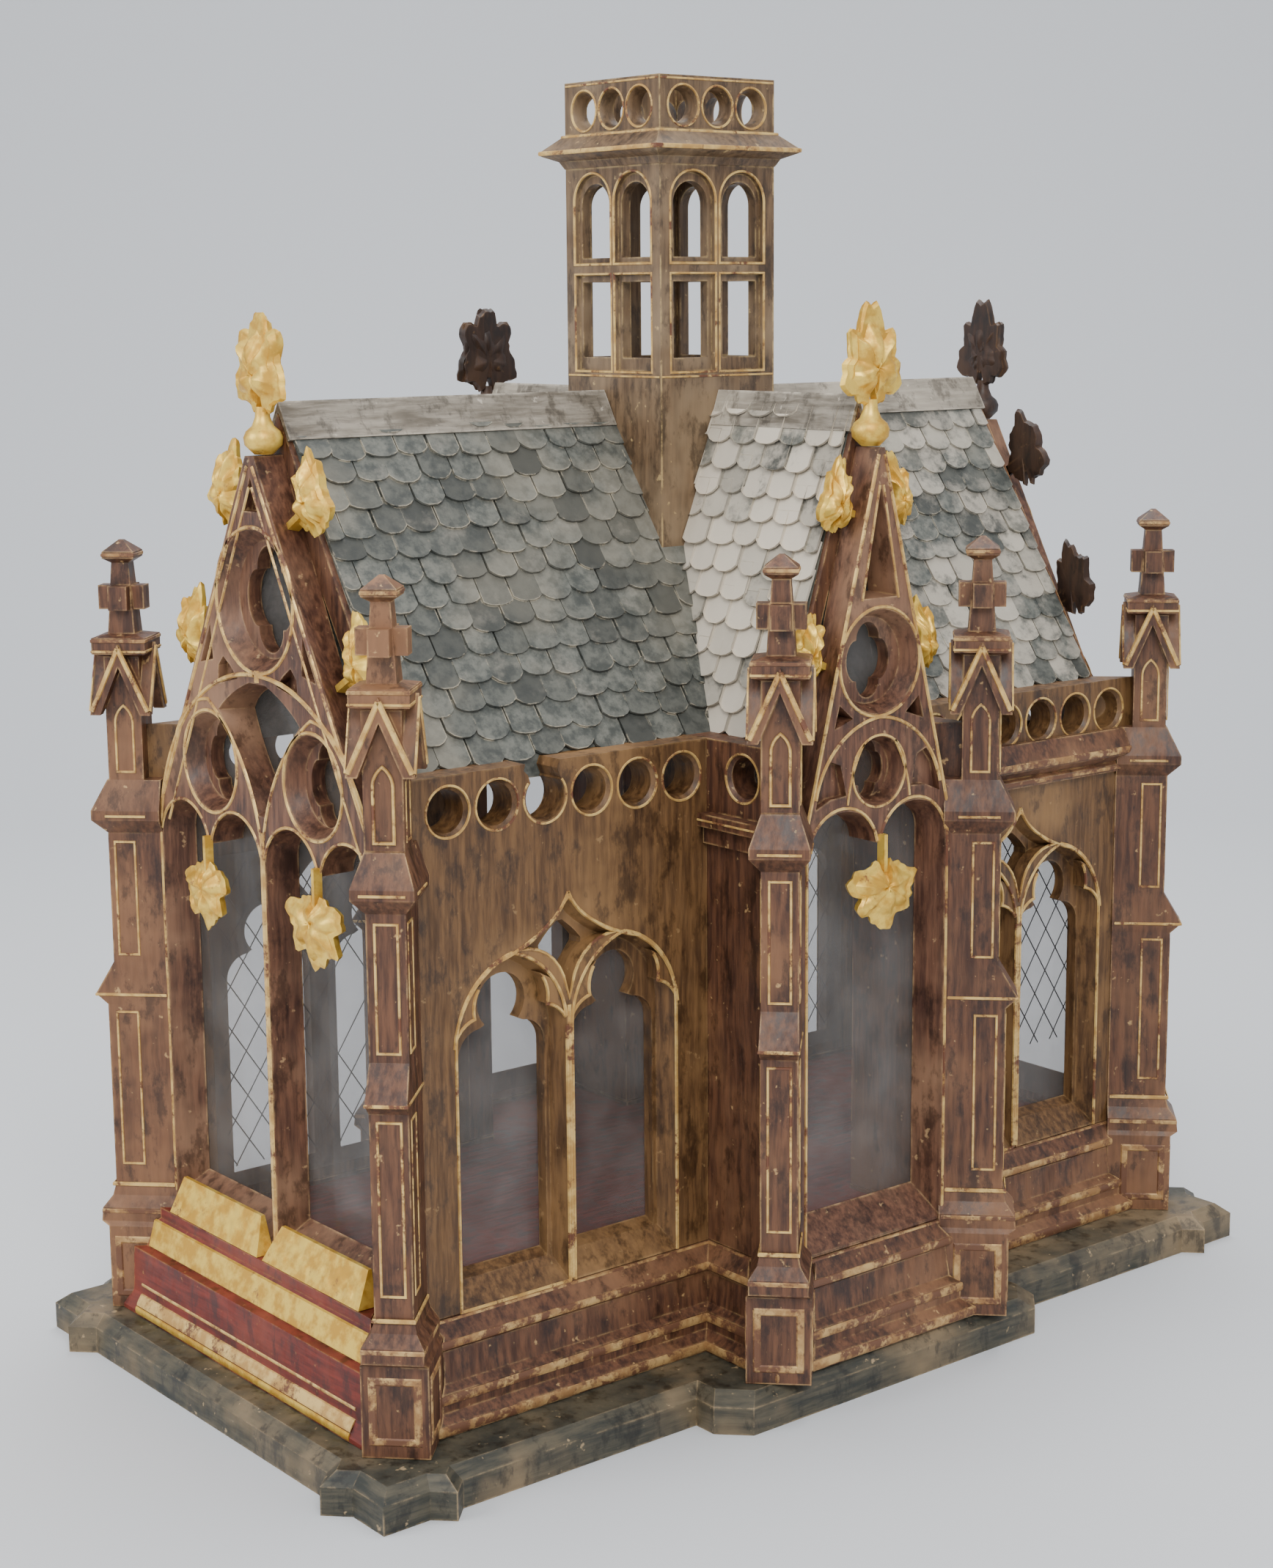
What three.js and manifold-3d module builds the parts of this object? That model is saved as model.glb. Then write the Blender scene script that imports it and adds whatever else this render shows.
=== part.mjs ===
// A chapel-shaped reliquary of carved, painted and gilded wood: a long nave crossed by a
// transept, four glazed gable fronts, diagonal buttresses, shingled roofs and a lantern tower.
// Millimetres, +Z up. X runs along the nave, -Y is the front transept, the base stands on Z = 0.
import * as THREE from 'three';
import { mergeVertices } from 'three/addons/utils/BufferGeometryUtils.js';
import Module from 'manifold-3d';

const wasm = await Module();
wasm.setup();

// ---------------------------------------------------------------- driving dimensions

const GAP = 0.35; // clearance between pieces that touch
const OVER = 1; // how far a cutter runs past the face it opens
const BOARD = 20; // thickness of the wall boards
const PANE = 3; // thickness of the glass

const NAVE = { halfLength: 309, halfWidth: 138 };
const TRANSEPT = { halfLength: 204, halfWidth: 80 };

const LEVEL = {
  baseTop: 24,
  floorBottom: 74,
  floorTop: 84,
  sill: 87,
  gableSill: 93,
  capBottom: 345,
  parapetTop: 405,
  rake: 587,
  rakeCut: 578,
  ridge: 602,
  towerFoot: 470,
  towerTop: 800,
};

const BASE = {
  halfLength: 363,
  halfWidth: 195,
  transeptHalfWidth: 139,
  transeptHalfLength: 228,
  chamfer: 17,
  lip: 7,
  bevel: 8,
  blockHalfWidth: 39,
  blockReach: 46,
};

// Plan position of the buttress axes, for the four main corners and the four transept corners.
const BUTTRESS = {
  nave: { x: 316, y: 146 },
  transept: { x: 83, y: 208 },
  back: 22,
};

const BAY = {
  leftWindow: -187,
  rightWindow: 197,
  leftCircles: -185.5,
  rightCircles: 198.5,
  circlePitch: 34.1,
  circleHeight: 384,
  circleRadius: 15.5,
  circleSides: 8,
};

const TOWER = { y: -9, half: 47, wall: 10 };

// ---------------------------------------------------------------- finishes

const FINISH = {
  redBrown: { color: 0x5b2f22, roughness: 0.6, metalness: 0 },
  ochre: { color: 0x6d4a22, roughness: 0.65, metalness: 0 },
  gilt: { color: 0xd6ab3c, roughness: 0.4, metalness: 0.8 },
  slate: { color: 0x565a57, roughness: 0.8, metalness: 0 },
  ridge: { color: 0x8a8378, roughness: 0.8, metalness: 0 },
  baseGreen: { color: 0x33352c, roughness: 0.8, metalness: 0 },
  floorRed: { color: 0x6a2b22, roughness: 0.7, metalness: 0 },
  glass: { color: 0xb9bdb8, roughness: 0.1, metalness: 0 },
};

// ---------------------------------------------------------------- shape helpers

const point = (x, y) => new THREE.Vector2(x, y);

function toSolid(geometry) {
  const bare = geometry.clone();
  bare.deleteAttribute('normal');
  bare.deleteAttribute('uv');
  const merged = mergeVertices(bare, 1e-4);
  const mesh = new wasm.Mesh({
    numProp: 3,
    vertProperties: new Float32Array(merged.attributes.position.array),
    triVerts: new Uint32Array(merged.index.array),
  });
  return new wasm.Manifold(mesh);
}

function toGeometry(solid) {
  const mesh = solid.getMesh();
  const geometry = new THREE.BufferGeometry();
  const positions = new Float32Array(mesh.vertProperties);
  geometry.setAttribute('position', new THREE.BufferAttribute(positions, 3));
  geometry.setIndex(Array.from(mesh.triVerts));
  return geometry;
}

function join(geometries) {
  return toGeometry(geometries.map(toSolid).reduce((sum, next) => sum.add(next)));
}

function cut(geometry, cutters) {
  return toGeometry(cutters.map(toSolid).reduce((rest, next) => rest.subtract(next), toSolid(geometry)));
}

// A closed solid through outlines with the same number of points, stacked along +Z.
function loft(levels) {
  const turn = THREE.ShapeUtils.isClockWise(levels[0].outline);
  const rings = levels.map(({ outline }) => (turn ? [...outline].reverse() : outline));
  const count = rings[0].length;
  const positions = [];
  rings.forEach((ring, k) => ring.forEach((p) => positions.push(p.x, p.y, levels[k].at)));
  const index = [];
  for (let k = 0; k + 1 < rings.length; k += 1) {
    for (let i = 0; i < count; i += 1) {
      const j = (i + 1) % count;
      const low = k * count;
      const high = low + count;
      index.push(low + i, low + j, high + j, low + i, high + j, high + i);
    }
  }
  const top = (rings.length - 1) * count;
  THREE.ShapeUtils.triangulateShape(rings[0], []).forEach(([a, b, c]) => index.push(c, b, a));
  THREE.ShapeUtils.triangulateShape(rings[rings.length - 1], []).forEach(([a, b, c]) => {
    index.push(top + a, top + b, top + c);
  });
  const geometry = new THREE.BufferGeometry();
  geometry.setAttribute('position', new THREE.Float32BufferAttribute(positions, 3));
  geometry.setIndex(index);
  return geometry;
}

const prism = (outline, from, to) => loft([{ at: from, outline }, { at: to, outline }]);

// Fronts are drawn in elevation: x to the right, y up, z towards the viewer. This stands them up
// so that they face -Y.
const stand = (geometry) => geometry.clone().rotateX(Math.PI / 2);

// A moulding: a profile of [outwards, height] points run along x, already standing, facing -Y.
function moulding(profile, from, to) {
  const outline = profile.map(([out, height]) => point(-out, height));
  return prism(outline, from, to).rotateX(Math.PI / 2).rotateZ(Math.PI / 2);
}

const rectangle = (x0, y0, x1, y1) => [point(x0, y0), point(x1, y0), point(x1, y1), point(x0, y1)];

const mirrored = (outline) => outline.map((p) => point(-p.x, p.y)).reverse();

const quarter = (geometry) => geometry.clone().rotateZ(Math.PI / 2);

// Points on an ellipse from one angle to another, in degrees, anticlockwise.
function arc(cx, cy, rx, ry, from, to, steps) {
  return Array.from({ length: steps + 1 }, (_, i) => {
    const angle = THREE.MathUtils.degToRad(from + ((to - from) * i) / steps);
    return point(cx + rx * Math.cos(angle), cy + ry * Math.sin(angle));
  });
}

const circle = (cx, cy, radius, sides) => arc(cx, cy, radius, radius, 0, 360 - 360 / sides, sides - 1);

// A pointed head from the right springing over the apex to the left springing.
function pointedHead(cx, spring, halfWidth, rise, steps) {
  const radius = (halfWidth ** 2 + rise ** 2) / (2 * halfWidth);
  const sweep = THREE.MathUtils.radToDeg(Math.atan2(rise, radius - halfWidth));
  const right = arc(cx + halfWidth - radius, spring, radius, radius, 0, sweep, steps);
  const left = arc(cx - halfWidth + radius, spring, radius, radius, 180 - sweep, 180, steps);
  return [...right, ...left.slice(1)];
}

// A four-lobed opening whose cusps lie on the diagonals.
function quatrefoil(cx, cy, halfWidth, halfHeight, cusp) {
  const sides = 12;
  return Array.from({ length: sides }, (_, i) => {
    const angle = (2 * Math.PI * i) / sides;
    const reach = 1 - cusp + cusp * Math.abs(Math.cos(2 * angle));
    return point(cx + halfWidth * reach * Math.cos(angle), cy + halfHeight * reach * Math.sin(angle));
  });
}

// A cutter that narrows from the front outline to the back outline.
const splay = (front, back, frontAt, backAt) => loft([{ at: backAt, outline: back }, { at: frontAt, outline: front }]);

// Grow a front outline by the slope of the splay, so that it also clears the face itself.
function throughSplay(outline, frontAt, backAt) {
  return splay(outline(0), outline(1), frontAt + 0.01, backAt - OVER);
}

// ---------------------------------------------------------------- the base board

function baseOutline(inset) {
  const length = BASE.halfLength - inset;
  const width = BASE.halfWidth - inset;
  const side = BASE.transeptHalfWidth - inset;
  const end = BASE.transeptHalfLength - inset;
  const cutBack = BASE.chamfer;
  const half = [
    point(length, -width),
    point(length, width),
    point(side, width),
    point(side, end - cutBack),
    point(side - cutBack, end),
  ];
  const quarter = half.slice(1).concat(half.slice(1).map((p) => point(-p.x, p.y)).reverse());
  return quarter.concat(quarter.map((p) => point(-p.x, -p.y)));
}

function cornerBlock(signX, signY) {
  const { blockHalfWidth: half, blockReach: reach, lip, bevel } = BASE;
  const tread = (inset) => rectangle(-half + inset, -reach + inset, half - inset, 30);
  const block = loft([
    { at: 0, outline: tread(0) },
    { at: LEVEL.baseTop - lip, outline: tread(0) },
    { at: LEVEL.baseTop, outline: tread(bevel) },
  ]);
  return atCorner(block, BUTTRESS.nave, signX, signY);
}

// Turn a piece that faces -Y to face out of a corner, and move it there.
function atCorner(geometry, corner, signX, signY) {
  const angle = Math.atan2(signY, signX) + Math.PI / 2;
  return geometry.clone().rotateZ(angle).translate(signX * corner.x, signY * corner.y, 0);
}

const CORNERS = [[-1, -1], [1, -1], [1, 1], [-1, 1]];

function baseBoard() {
  const slab = loft([
    { at: 0, outline: baseOutline(0) },
    { at: LEVEL.baseTop - BASE.lip, outline: baseOutline(0) },
    { at: LEVEL.baseTop, outline: baseOutline(BASE.bevel) },
  ]);
  return join([slab, ...CORNERS.map(([x, y]) => cornerBlock(x, y))]);
}

// ---------------------------------------------------------------- plinth and floor

function crossOutline(grow, endGrow = grow) {
  const length = NAVE.halfLength + endGrow;
  const width = NAVE.halfWidth + grow;
  const side = TRANSEPT.halfWidth + grow;
  const end = TRANSEPT.halfLength + grow;
  const quarter = [point(length, width), point(side, width), point(side, end)];
  const half = quarter.concat([...quarter].reverse().map((p) => point(-p.x, p.y)));
  return half.concat(half.map((p) => point(-p.x, -p.y)));
}

// Steps of the plinth moulding: [height, projection beyond the wall].
const PLINTH_STEPS = [
  [LEVEL.baseTop + GAP, 19],
  [31, 19],
  [36, 13],
  [47, 13],
  [51, 8],
  [70, 6],
  [72, 8],
  [77, 8],
  [LEVEL.sill, 1],
];

function plinth() {
  const outer = loft(PLINTH_STEPS.map(([at, out]) => ({ at, outline: crossOutline(out, 0) })));
  const ledge = prism(crossOutline(-BOARD - 10), LEVEL.baseTop - OVER, LEVEL.floorBottom + OVER);
  const well = prism(crossOutline(-BOARD), LEVEL.floorBottom, LEVEL.sill + OVER);
  return cut(outer, [ledge, well, ...allButtresses()]);
}

const floorBoard = () => prism(crossOutline(-BOARD - GAP), LEVEL.floorBottom + GAP, LEVEL.floorTop);

// The broad flat plinth board across a nave end, with its sloped upper and lower strips.
const END_PLINTH = [
  [0, LEVEL.baseTop + GAP],
  [31, LEVEL.baseTop + GAP],
  [31, 27],
  [26, 37],
  [25, 66],
  [19, 67],
  [14, 84],
  [12, 86],
  [12, LEVEL.gableSill],
  [0, LEVEL.gableSill],
];

function endPlinth() {
  const face = NAVE.halfLength + GAP;
  const profile = END_PLINTH.map(([out, height]) => [face + out, height]);
  return cut(moulding(profile, -150, 150), facingButtresses('nave'));
}

// A gilded sill panel under one light of the left gable, its ends drawn in as it rises.
function giltSill(side) {
  const foot = LEVEL.gableSill + GAP;
  const back = -NAVE.halfLength - GAP;
  const tread = (inner, outer, projection) => rectangle(
    Math.min(side * inner, side * outer),
    back - projection,
    Math.max(side * inner, side * outer),
    back,
  );
  return loft([
    { at: foot, outline: tread(3, 110, 12) },
    { at: foot + 22, outline: tread(12, 107, 2.5) },
  ]);
}

// ---------------------------------------------------------------- buttresses and pinnacles

// Stages of a buttress below the gablets: [height, half width, projection of the front].
const BUTTRESS_STEPS = [
  [LEVEL.baseTop + GAP, 19.7, 22],
  [79, 19.7, 22],
  [82, 18, 27],
  [91, 18, 26],
  [98, 13, 20.5],
  [106, 11.3, 18.5],
  [225, 11.3, 18.5],
  [232, 12, 26],
  [253, 11.3, 13.5],
  [337, 11.3, 13.5],
  [346, 18, 22],
  [352, 18, 22],
  [371, 11.3, 12.5],
];

// Stages of the square pinnacle: [height, half width].
const PINNACLE_STEPS = [
  [370, 11.3],
  [449, 11.3],
  [451, 17],
  [461, 17],
  [463, 8.5],
  [507, 5.5],
  [510, 10],
  [514, 10],
  [521, 1.5],
];

const GABLET = { halfWidth: 19, foot: 413, apex: 457, band: 6, reach: 19 };
const COLLAR = { foot: 478, top: 493, half: 6, reach: 14.5 };

function squareStages(steps) {
  return loft(steps.map(([at, half]) => ({ at, outline: rectangle(-half, -half, half, half) })));
}

function gableTube(shrink, reach) {
  const { halfWidth, foot, apex } = GABLET;
  const slope = (apex - foot) / halfWidth;
  const low = foot - (shrink > 0 ? OVER : 0);
  const outline = [
    point(-halfWidth + shrink, low),
    point(halfWidth - shrink, low),
    point(0, apex - shrink * slope),
  ];
  return stand(prism(outline, -reach, reach));
}

// Two small crossing roofs, open underneath, one gablet to each side of the pinnacle.
function gablets() {
  const { reach, band } = GABLET;
  const shell = gableTube(0, reach);
  const hollow = gableTube(band, reach + OVER);
  return cut(join([shell, quarter(shell)]), [hollow, quarter(hollow)]);
}

// The four-armed collar: two crossing bars.
function collar() {
  const { foot, top, half, reach } = COLLAR;
  const bar = prism(rectangle(-reach, -half, reach, half), foot, top);
  return join([bar, quarter(bar)]);
}

function buttress() {
  const stages = loft(BUTTRESS_STEPS.map(([at, half, front]) => ({
    at,
    outline: rectangle(-half, -front, half, BUTTRESS.back),
  })));
  return join([stages, squareStages(PINNACLE_STEPS), gablets(), collar()]);
}

// The room a buttress takes from its neighbours: [height, half width].
const CLEARANCE_STEPS = [
  [LEVEL.baseTop - OVER, 20.1],
  [95, 20.1],
  [98, 13.4],
  [107, 12.4],
  [336, 12.4],
  [345, 18.4],
  [353, 18.4],
  [372, 11.7],
  [LEVEL.rakeCut, 11.7],
];

const clearance = loft(CLEARANCE_STEPS.map(([at, half]) => ({
  at,
  outline: rectangle(-half, -2 * BOARD, half, BUTTRESS.back + GAP),
})));

function allButtresses() {
  return [BUTTRESS.nave, BUTTRESS.transept].flatMap((corner) => (
    CORNERS.map(([x, y]) => atCorner(clearance, corner, x, y))
  ));
}

// The two buttresses beside a front, in the frame where that front faces -Y.
function facingButtresses(arm) {
  const corner = arm === 'nave'
    ? { x: BUTTRESS.nave.y, y: BUTTRESS.nave.x }
    : BUTTRESS.transept;
  return [-1, 1].map((x) => atCorner(clearance, corner, x, -1));
}

// ---------------------------------------------------------------- bay walls

function circleCutters(centre, count, height, frontAt) {
  const { circlePitch: pitch, circleRadius: radius } = BAY;
  return Array.from({ length: count }, (_, i) => {
    const u = centre + (i - (count - 1) / 2) * pitch;
    const front = circle(u, height, radius, BAY.circleSides);
    const back = circle(u, height, radius - 4.5, BAY.circleSides);
    return splay(front, back, frontAt + 0.01, frontAt - BOARD - OVER);
  });
}

const WINDOW = {
  halfWidth: 80,
  mullion: 1.8,
  spring: 248,
  lightApex: 297,
  hoodApex: 324,
  sillRise: 18,
  stage: 12,
};

// Front outline of one light of a bay window, drawn in by the splay.
function bayLight(centre, side, draw) {
  const outer = WINDOW.halfWidth - 8 * draw;
  const inner = WINDOW.mullion + 6 * draw;
  const middle = (outer + inner) / 2;
  const half = (outer - inner) / 2;
  const foot = LEVEL.sill + OVER + WINDOW.sillRise * draw;
  const head = pointedHead(middle, WINDOW.spring, half, WINDOW.lightApex - WINDOW.spring - 6 * draw, 3);
  const outline = [point(middle - half, foot), point(middle + half, foot), ...head];
  const placed = side > 0 ? outline : mirrored(outline);
  return placed.map((p) => point(p.x + centre, p.y));
}

// The trefoil-headed opening behind it, which holds the glass.
function trefoilLight(centre, side, foot) {
  const middle = side * 40;
  const half = 30;
  const lobe = 15;
  const spring = 236;
  const head = [
    ...arc(half - lobe, spring, lobe, lobe, 0, 85, 2),
    ...arc(0, 265, 17, 17, -42, 222, 4),
    ...arc(lobe - half, spring, lobe, lobe, 95, 180, 2),
  ];
  const outline = [point(-half, foot), point(half, foot), ...head];
  return outline.map((p) => point(p.x + middle + centre, p.y));
}

// The pierced field between the two lights and the ogee hood.
function bayDagger(centre, draw) {
  const lean = 5 * draw;
  const right = [
    point(14, 283),
    point(30, 299),
    point(14, 308 - lean),
  ].map((p) => point(p.x * (1 - 0.25 * draw), p.y));
  const left = mirrored(right);
  const outline = [point(0, 262 + lean), ...right, point(0, WINDOW.hoodApex - 2 * lean), ...left];
  return outline.map((p) => point(p.x + centre, p.y));
}

function bayWindowCutters(centre) {
  const front = NAVE.halfWidth;
  const stageAt = front - WINDOW.stage;
  const lights = [-1, 1].flatMap((side) => [
    splay(bayLight(centre, side, 0), bayLight(centre, side, 0.8), front + 0.01, stageAt),
    splay(
      trefoilLight(centre, side, LEVEL.sill + OVER + WINDOW.sillRise * 0.7),
      trefoilLight(centre, side, LEVEL.sill + OVER + WINDOW.sillRise * 1.1),
      stageAt + OVER,
      front - BOARD - OVER,
    ),
  ]);
  const dagger = splay(bayDagger(centre, 0), bayDagger(centre, 1), front + 0.01, stageAt - 2);
  const eye = prism(circle(centre, 289, 12, 8), front - BOARD - OVER, stageAt);
  return [...lights, dagger, eye];
}

// The broken upper edge of the front parapet, over the third circle from the corner.
function parapetChip() {
  const u = BAY.leftCircles - 0.5 * BAY.circlePitch;
  const outline = [
    point(u - 13, 394),
    point(u + 2, 391),
    point(u + 10, 398),
    point(u + 9, LEVEL.parapetTop + OVER),
    point(u - 15, LEVEL.parapetTop + OVER),
  ];
  return prism(outline, NAVE.halfWidth - BOARD - OVER, NAVE.halfWidth + OVER);
}

// A bay wall facing -Y on the given side of the transept.
function bayWall(side, chipped) {
  const front = NAVE.halfWidth;
  const corner = side * NAVE.halfLength;
  const inner = side * (TRANSEPT.halfWidth + GAP);
  const [from, to] = side > 0 ? [inner, corner] : [corner, inner];
  const plate = prism(rectangle(from, LEVEL.sill + GAP, to, LEVEL.parapetTop), front - BOARD, front);
  const window = side > 0 ? BAY.rightWindow : BAY.leftWindow;
  const circles = side > 0 ? BAY.rightCircles : BAY.leftCircles;
  const cutters = [
    ...bayWindowCutters(window),
    ...circleCutters(circles, 6, BAY.circleHeight, front),
    ...(chipped ? [parapetChip()] : []),
  ];
  const standing = stand(cut(plate, cutters));
  const head = stand(gableHead('nave', GAP)).rotateZ((side * Math.PI) / 2);
  return cut(standing, [cornerMitre(side, NAVE), head, ...allButtresses()]);
}

// The wedge taken off the end of a side wall where the gable board is mitred to it.
function cornerMitre(side, arm) {
  const slack = GAP * Math.SQRT2;
  const x = arm.halfLength;
  const y = arm.halfWidth;
  const outline = [
    point(side * (x + OVER), -y - OVER - slack),
    point(side * (x + OVER), -y + BOARD + OVER),
    point(side * (x - BOARD - OVER - slack), -y + BOARD + OVER),
  ];
  return prism(outline, LEVEL.sill, LEVEL.parapetTop + OVER);
}

const CORNICE = [[0, 341], [4, 341], [5.5, 346], [3, 348], [9, 353], [10, 359], [4, 371], [0, 371]];

function cornice(side) {
  const face = NAVE.halfWidth + GAP;
  const profile = CORNICE.map(([out, height]) => [face + out, height]);
  const inner = side * (TRANSEPT.halfWidth + 10 + 2 * GAP);
  const outer = side * NAVE.halfLength;
  const strip = moulding(profile, Math.min(inner, outer), Math.max(inner, outer));
  return cut(strip, allButtresses());
}

// ---------------------------------------------------------------- transept side walls

// The short return wall of a transept, facing -Y; side tells which end holds the gable.
function returnWall(side) {
  const front = TRANSEPT.halfWidth;
  const inner = side * (NAVE.halfWidth - BOARD);
  const outer = side * TRANSEPT.halfLength;
  const [from, to] = side > 0 ? [inner, outer] : [outer, inner];
  const plate = prism(rectangle(from, LEVEL.sill + GAP, to, LEVEL.parapetTop), front - BOARD, front);
  const eye = circleCutters(side * 170, 1, BAY.circleHeight, front);
  const string = moulding(
    CORNICE.map(([out, height]) => [front - OVER + out, height]),
    side > 0 ? NAVE.halfWidth + GAP : -TRANSEPT.halfLength,
    side > 0 ? TRANSEPT.halfLength : -NAVE.halfWidth - GAP,
  );
  const mitre = cornerMitre(side, { halfLength: TRANSEPT.halfLength, halfWidth: front });
  const corner = { x: BUTTRESS.transept.y, y: BUTTRESS.transept.x };
  const notch = atCorner(clearance, corner, side, -1);
  const head = stand(gableHead('transept', GAP)).rotateZ((side * Math.PI) / 2);
  return cut(join([stand(cut(plate, eye)), string]), [mitre, head, notch]);
}

// ---------------------------------------------------------------- gable fronts

// The triangular upper part of a gable board, with its tip cut flat.
function gableHead(arm, grow = 0) {
  const { capBottom, rake, rakeCut } = LEVEL;
  const front = (arm === 'nave' ? NAVE : TRANSEPT).halfLength;
  const { rakeHalf } = arm === 'nave' ? NAVE_GABLE : TRANSEPT_GABLE;
  const tip = (rakeHalf * (rake - rakeCut)) / (rake - capBottom);
  const outline = [
    point(-rakeHalf - grow, capBottom - 0.01),
    point(rakeHalf + grow, capBottom - 0.01),
    point(tip + grow, rakeCut),
    point(-tip - grow, rakeCut),
  ];
  return prism(outline, front - BOARD - grow, front + grow);
}

// One light with two round sub-heads that meet at a pendant.
function twinLight(inner, outer, foot, draw) {
  const rib = 1.5 + 4 * draw;
  const left = inner + 5 * draw;
  const right = outer - 7 * draw;
  const middle = (inner + outer) / 2;
  const spring = 340 + 1.5 * draw;
  const rise = 23 - 5 * draw;
  const rightHalf = (right - middle - rib) / 2;
  const leftHalf = (middle - rib - left) / 2;
  return [
    point(left, foot),
    point(right, foot),
    ...arc(middle + rib + rightHalf, spring, rightHalf, rise, 0, 180, 4),
    ...arc(left + leftHalf, spring, leftHalf, rise, 0, 180, 4),
  ];
}

// A round tracery light: a splayed ring, then a cusped opening for the glass. On the plainer
// hidden fronts the splay runs right through.
function roseCutters(cx, cy, radius, halfWidth, halfHeight, frontAt, plain) {
  const stageAt = frontAt - 11;
  if (plain) {
    const sides = 8;
    const back = circle(cx, cy, radius * 0.74, sides);
    return [splay(circle(cx, cy, radius, sides), back, frontAt + 0.01, frontAt - BOARD - OVER)];
  }
  const sides = 12;
  return [
    splay(circle(cx, cy, radius, sides), circle(cx, cy, radius * 0.82, sides), frontAt + 0.01, stageAt),
    prism(quatrefoil(cx, cy, halfWidth, halfHeight, 0.22), frontAt - BOARD - OVER, stageAt + OVER),
  ];
}

const NAVE_GABLE = { rakeHalf: 129.7, jamb: 121, mullion: 5, ring: 494, ringRadius: 41, eye: 58.5 };

function naveGableCutters(plain) {
  const front = NAVE.halfLength;
  const foot = 100;
  const through = (outline) => throughSplay(outline, front, front - BOARD);
  const lights = [
    through((draw) => twinLight(NAVE_GABLE.mullion, NAVE_GABLE.jamb, foot, draw)),
    through((draw) => mirrored(twinLight(NAVE_GABLE.mullion, NAVE_GABLE.jamb, foot, draw))),
  ];
  const eyes = [-1, 1].flatMap((side) => roseCutters(side * NAVE_GABLE.eye, 391.5, 30, 18, 25, front, plain));
  const rose = roseCutters(0, NAVE_GABLE.ring, NAVE_GABLE.ringRadius, 24, 31, front, plain);
  const spandrel = through((draw) => {
    const right = [
      point(10, 388),
      point(24, 409),
      point(42, 424),
      point(30, 434 - 3 * draw),
      point(15, 441 - 3 * draw),
    ].map((p) => point(p.x * (1 - 0.25 * draw), p.y));
    return [point(0, 369 + 8 * draw), ...right, point(0, 444 - 4 * draw), ...mirrored(right)];
  });
  const corner = (draw) => {
    const pull = 3 * draw;
    return [point(54 + pull, 455 + pull), point(64 - pull, 454 + pull), point(52, 474 - 2 * pull)];
  };
  const corners = [through(corner), through((draw) => mirrored(corner(draw)))];
  const openings = [...lights, ...eyes, ...rose];
  return plain ? openings : [...openings, spandrel, ...corners];
}

// Fields that are sunk between the ribs but not pierced.
function naveGableFields() {
  const front = NAVE.halfLength;
  const top = [point(-10, 546), point(10, 546), point(0, 568)];
  const side = [
    point(20, 452),
    point(60, 436),
    point(92, 406),
    point(68, 448),
    point(46, 488),
    point(38, 467),
  ];
  return [top, side, mirrored(side)].map((outline) => (
    splay(outline, outline.map((p) => p.clone()), front + 0.01, front - 7)
  ));
}

const TRANSEPT_GABLE = { rakeHalf: 62.5, jamb: 57, ring: 450.5, ringRadius: 31.5 };

function transeptGableCutters(plain) {
  const front = TRANSEPT.halfLength;
  const through = (outline) => throughSplay(outline, front, front - BOARD);
  const light = through((draw) => twinLight(-TRANSEPT_GABLE.jamb, TRANSEPT_GABLE.jamb, 91 + 18 * draw, draw));
  const rose = roseCutters(0, TRANSEPT_GABLE.ring, TRANSEPT_GABLE.ringRadius, 17, 23, front, plain);
  const eye = roseCutters(0, 384, 21, 13, 18, front, plain);
  const top = through((draw) => [
    point(-13 + 5 * draw, 490 + 2 * draw),
    point(13 - 5 * draw, 490 + 2 * draw),
    point(0, 555 - 15 * draw),
  ]);
  const corner = (draw) => {
    const pull = 2 * draw;
    return [point(21 + pull, 417), point(35 - 2 * pull, 414), point(34 - pull, 426 - pull)];
  };
  const corners = [through(corner), through((draw) => mirrored(corner(draw)))];
  const openings = [light, ...rose, ...eye];
  return plain ? openings : [...openings, top, ...corners];
}

function transeptGableFields() {
  const front = TRANSEPT.halfLength;
  const side = [
    point(26, 380),
    point(27, 368),
    point(52, 372),
    point(46, 392),
    point(34, 403),
    point(21, 402),
  ];
  return [side, mirrored(side)].map((outline) => prism(outline, front - 7, front + OVER));
}

function gableFront(arm, hidden) {
  const isNave = arm === 'nave';
  const { halfLength: front, halfWidth: half } = isNave ? NAVE : TRANSEPT;
  const foot = LEVEL.sill + GAP;
  const wall = splay(
    rectangle(-half, foot, half, LEVEL.capBottom),
    rectangle(-half + BOARD, foot, half - BOARD, LEVEL.capBottom),
    front,
    front - BOARD,
  );
  const pierce = isNave ? naveGableCutters : transeptGableCutters;
  const sink = isNave ? naveGableFields : transeptGableFields;
  const cutters = hidden ? pierce(true) : [...pierce(false), ...sink()];
  const pierced = stand(cut(join([wall, gableHead(arm)]), cutters));
  const parts = hidden
    ? [pierced, ...crocketSpots(arm).map((spot) => crocket(spot, true))]
    : [pierced];
  return cut(join(parts), facingButtresses(arm));
}

// ---------------------------------------------------------------- carved leaves

// Half outline of a lobed leaf, from the stalk to the tip, on a unit width and height.
const LEAF_LOBES = [[0.12, 0], [0.78, 0.16], [1, 0.44], [0.6, 0.56], [0.5, 0.76], [0, 1]];

function leafOutline(halfWidth, height, scale) {
  const right = LEAF_LOBES.map(([x, y]) => point(x * halfWidth * scale, (y - 0.45) * height * scale));
  const left = mirrored(right).slice(1);
  return [...right, ...left].map((p) => point(p.x, p.y + 0.45 * height));
}

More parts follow.
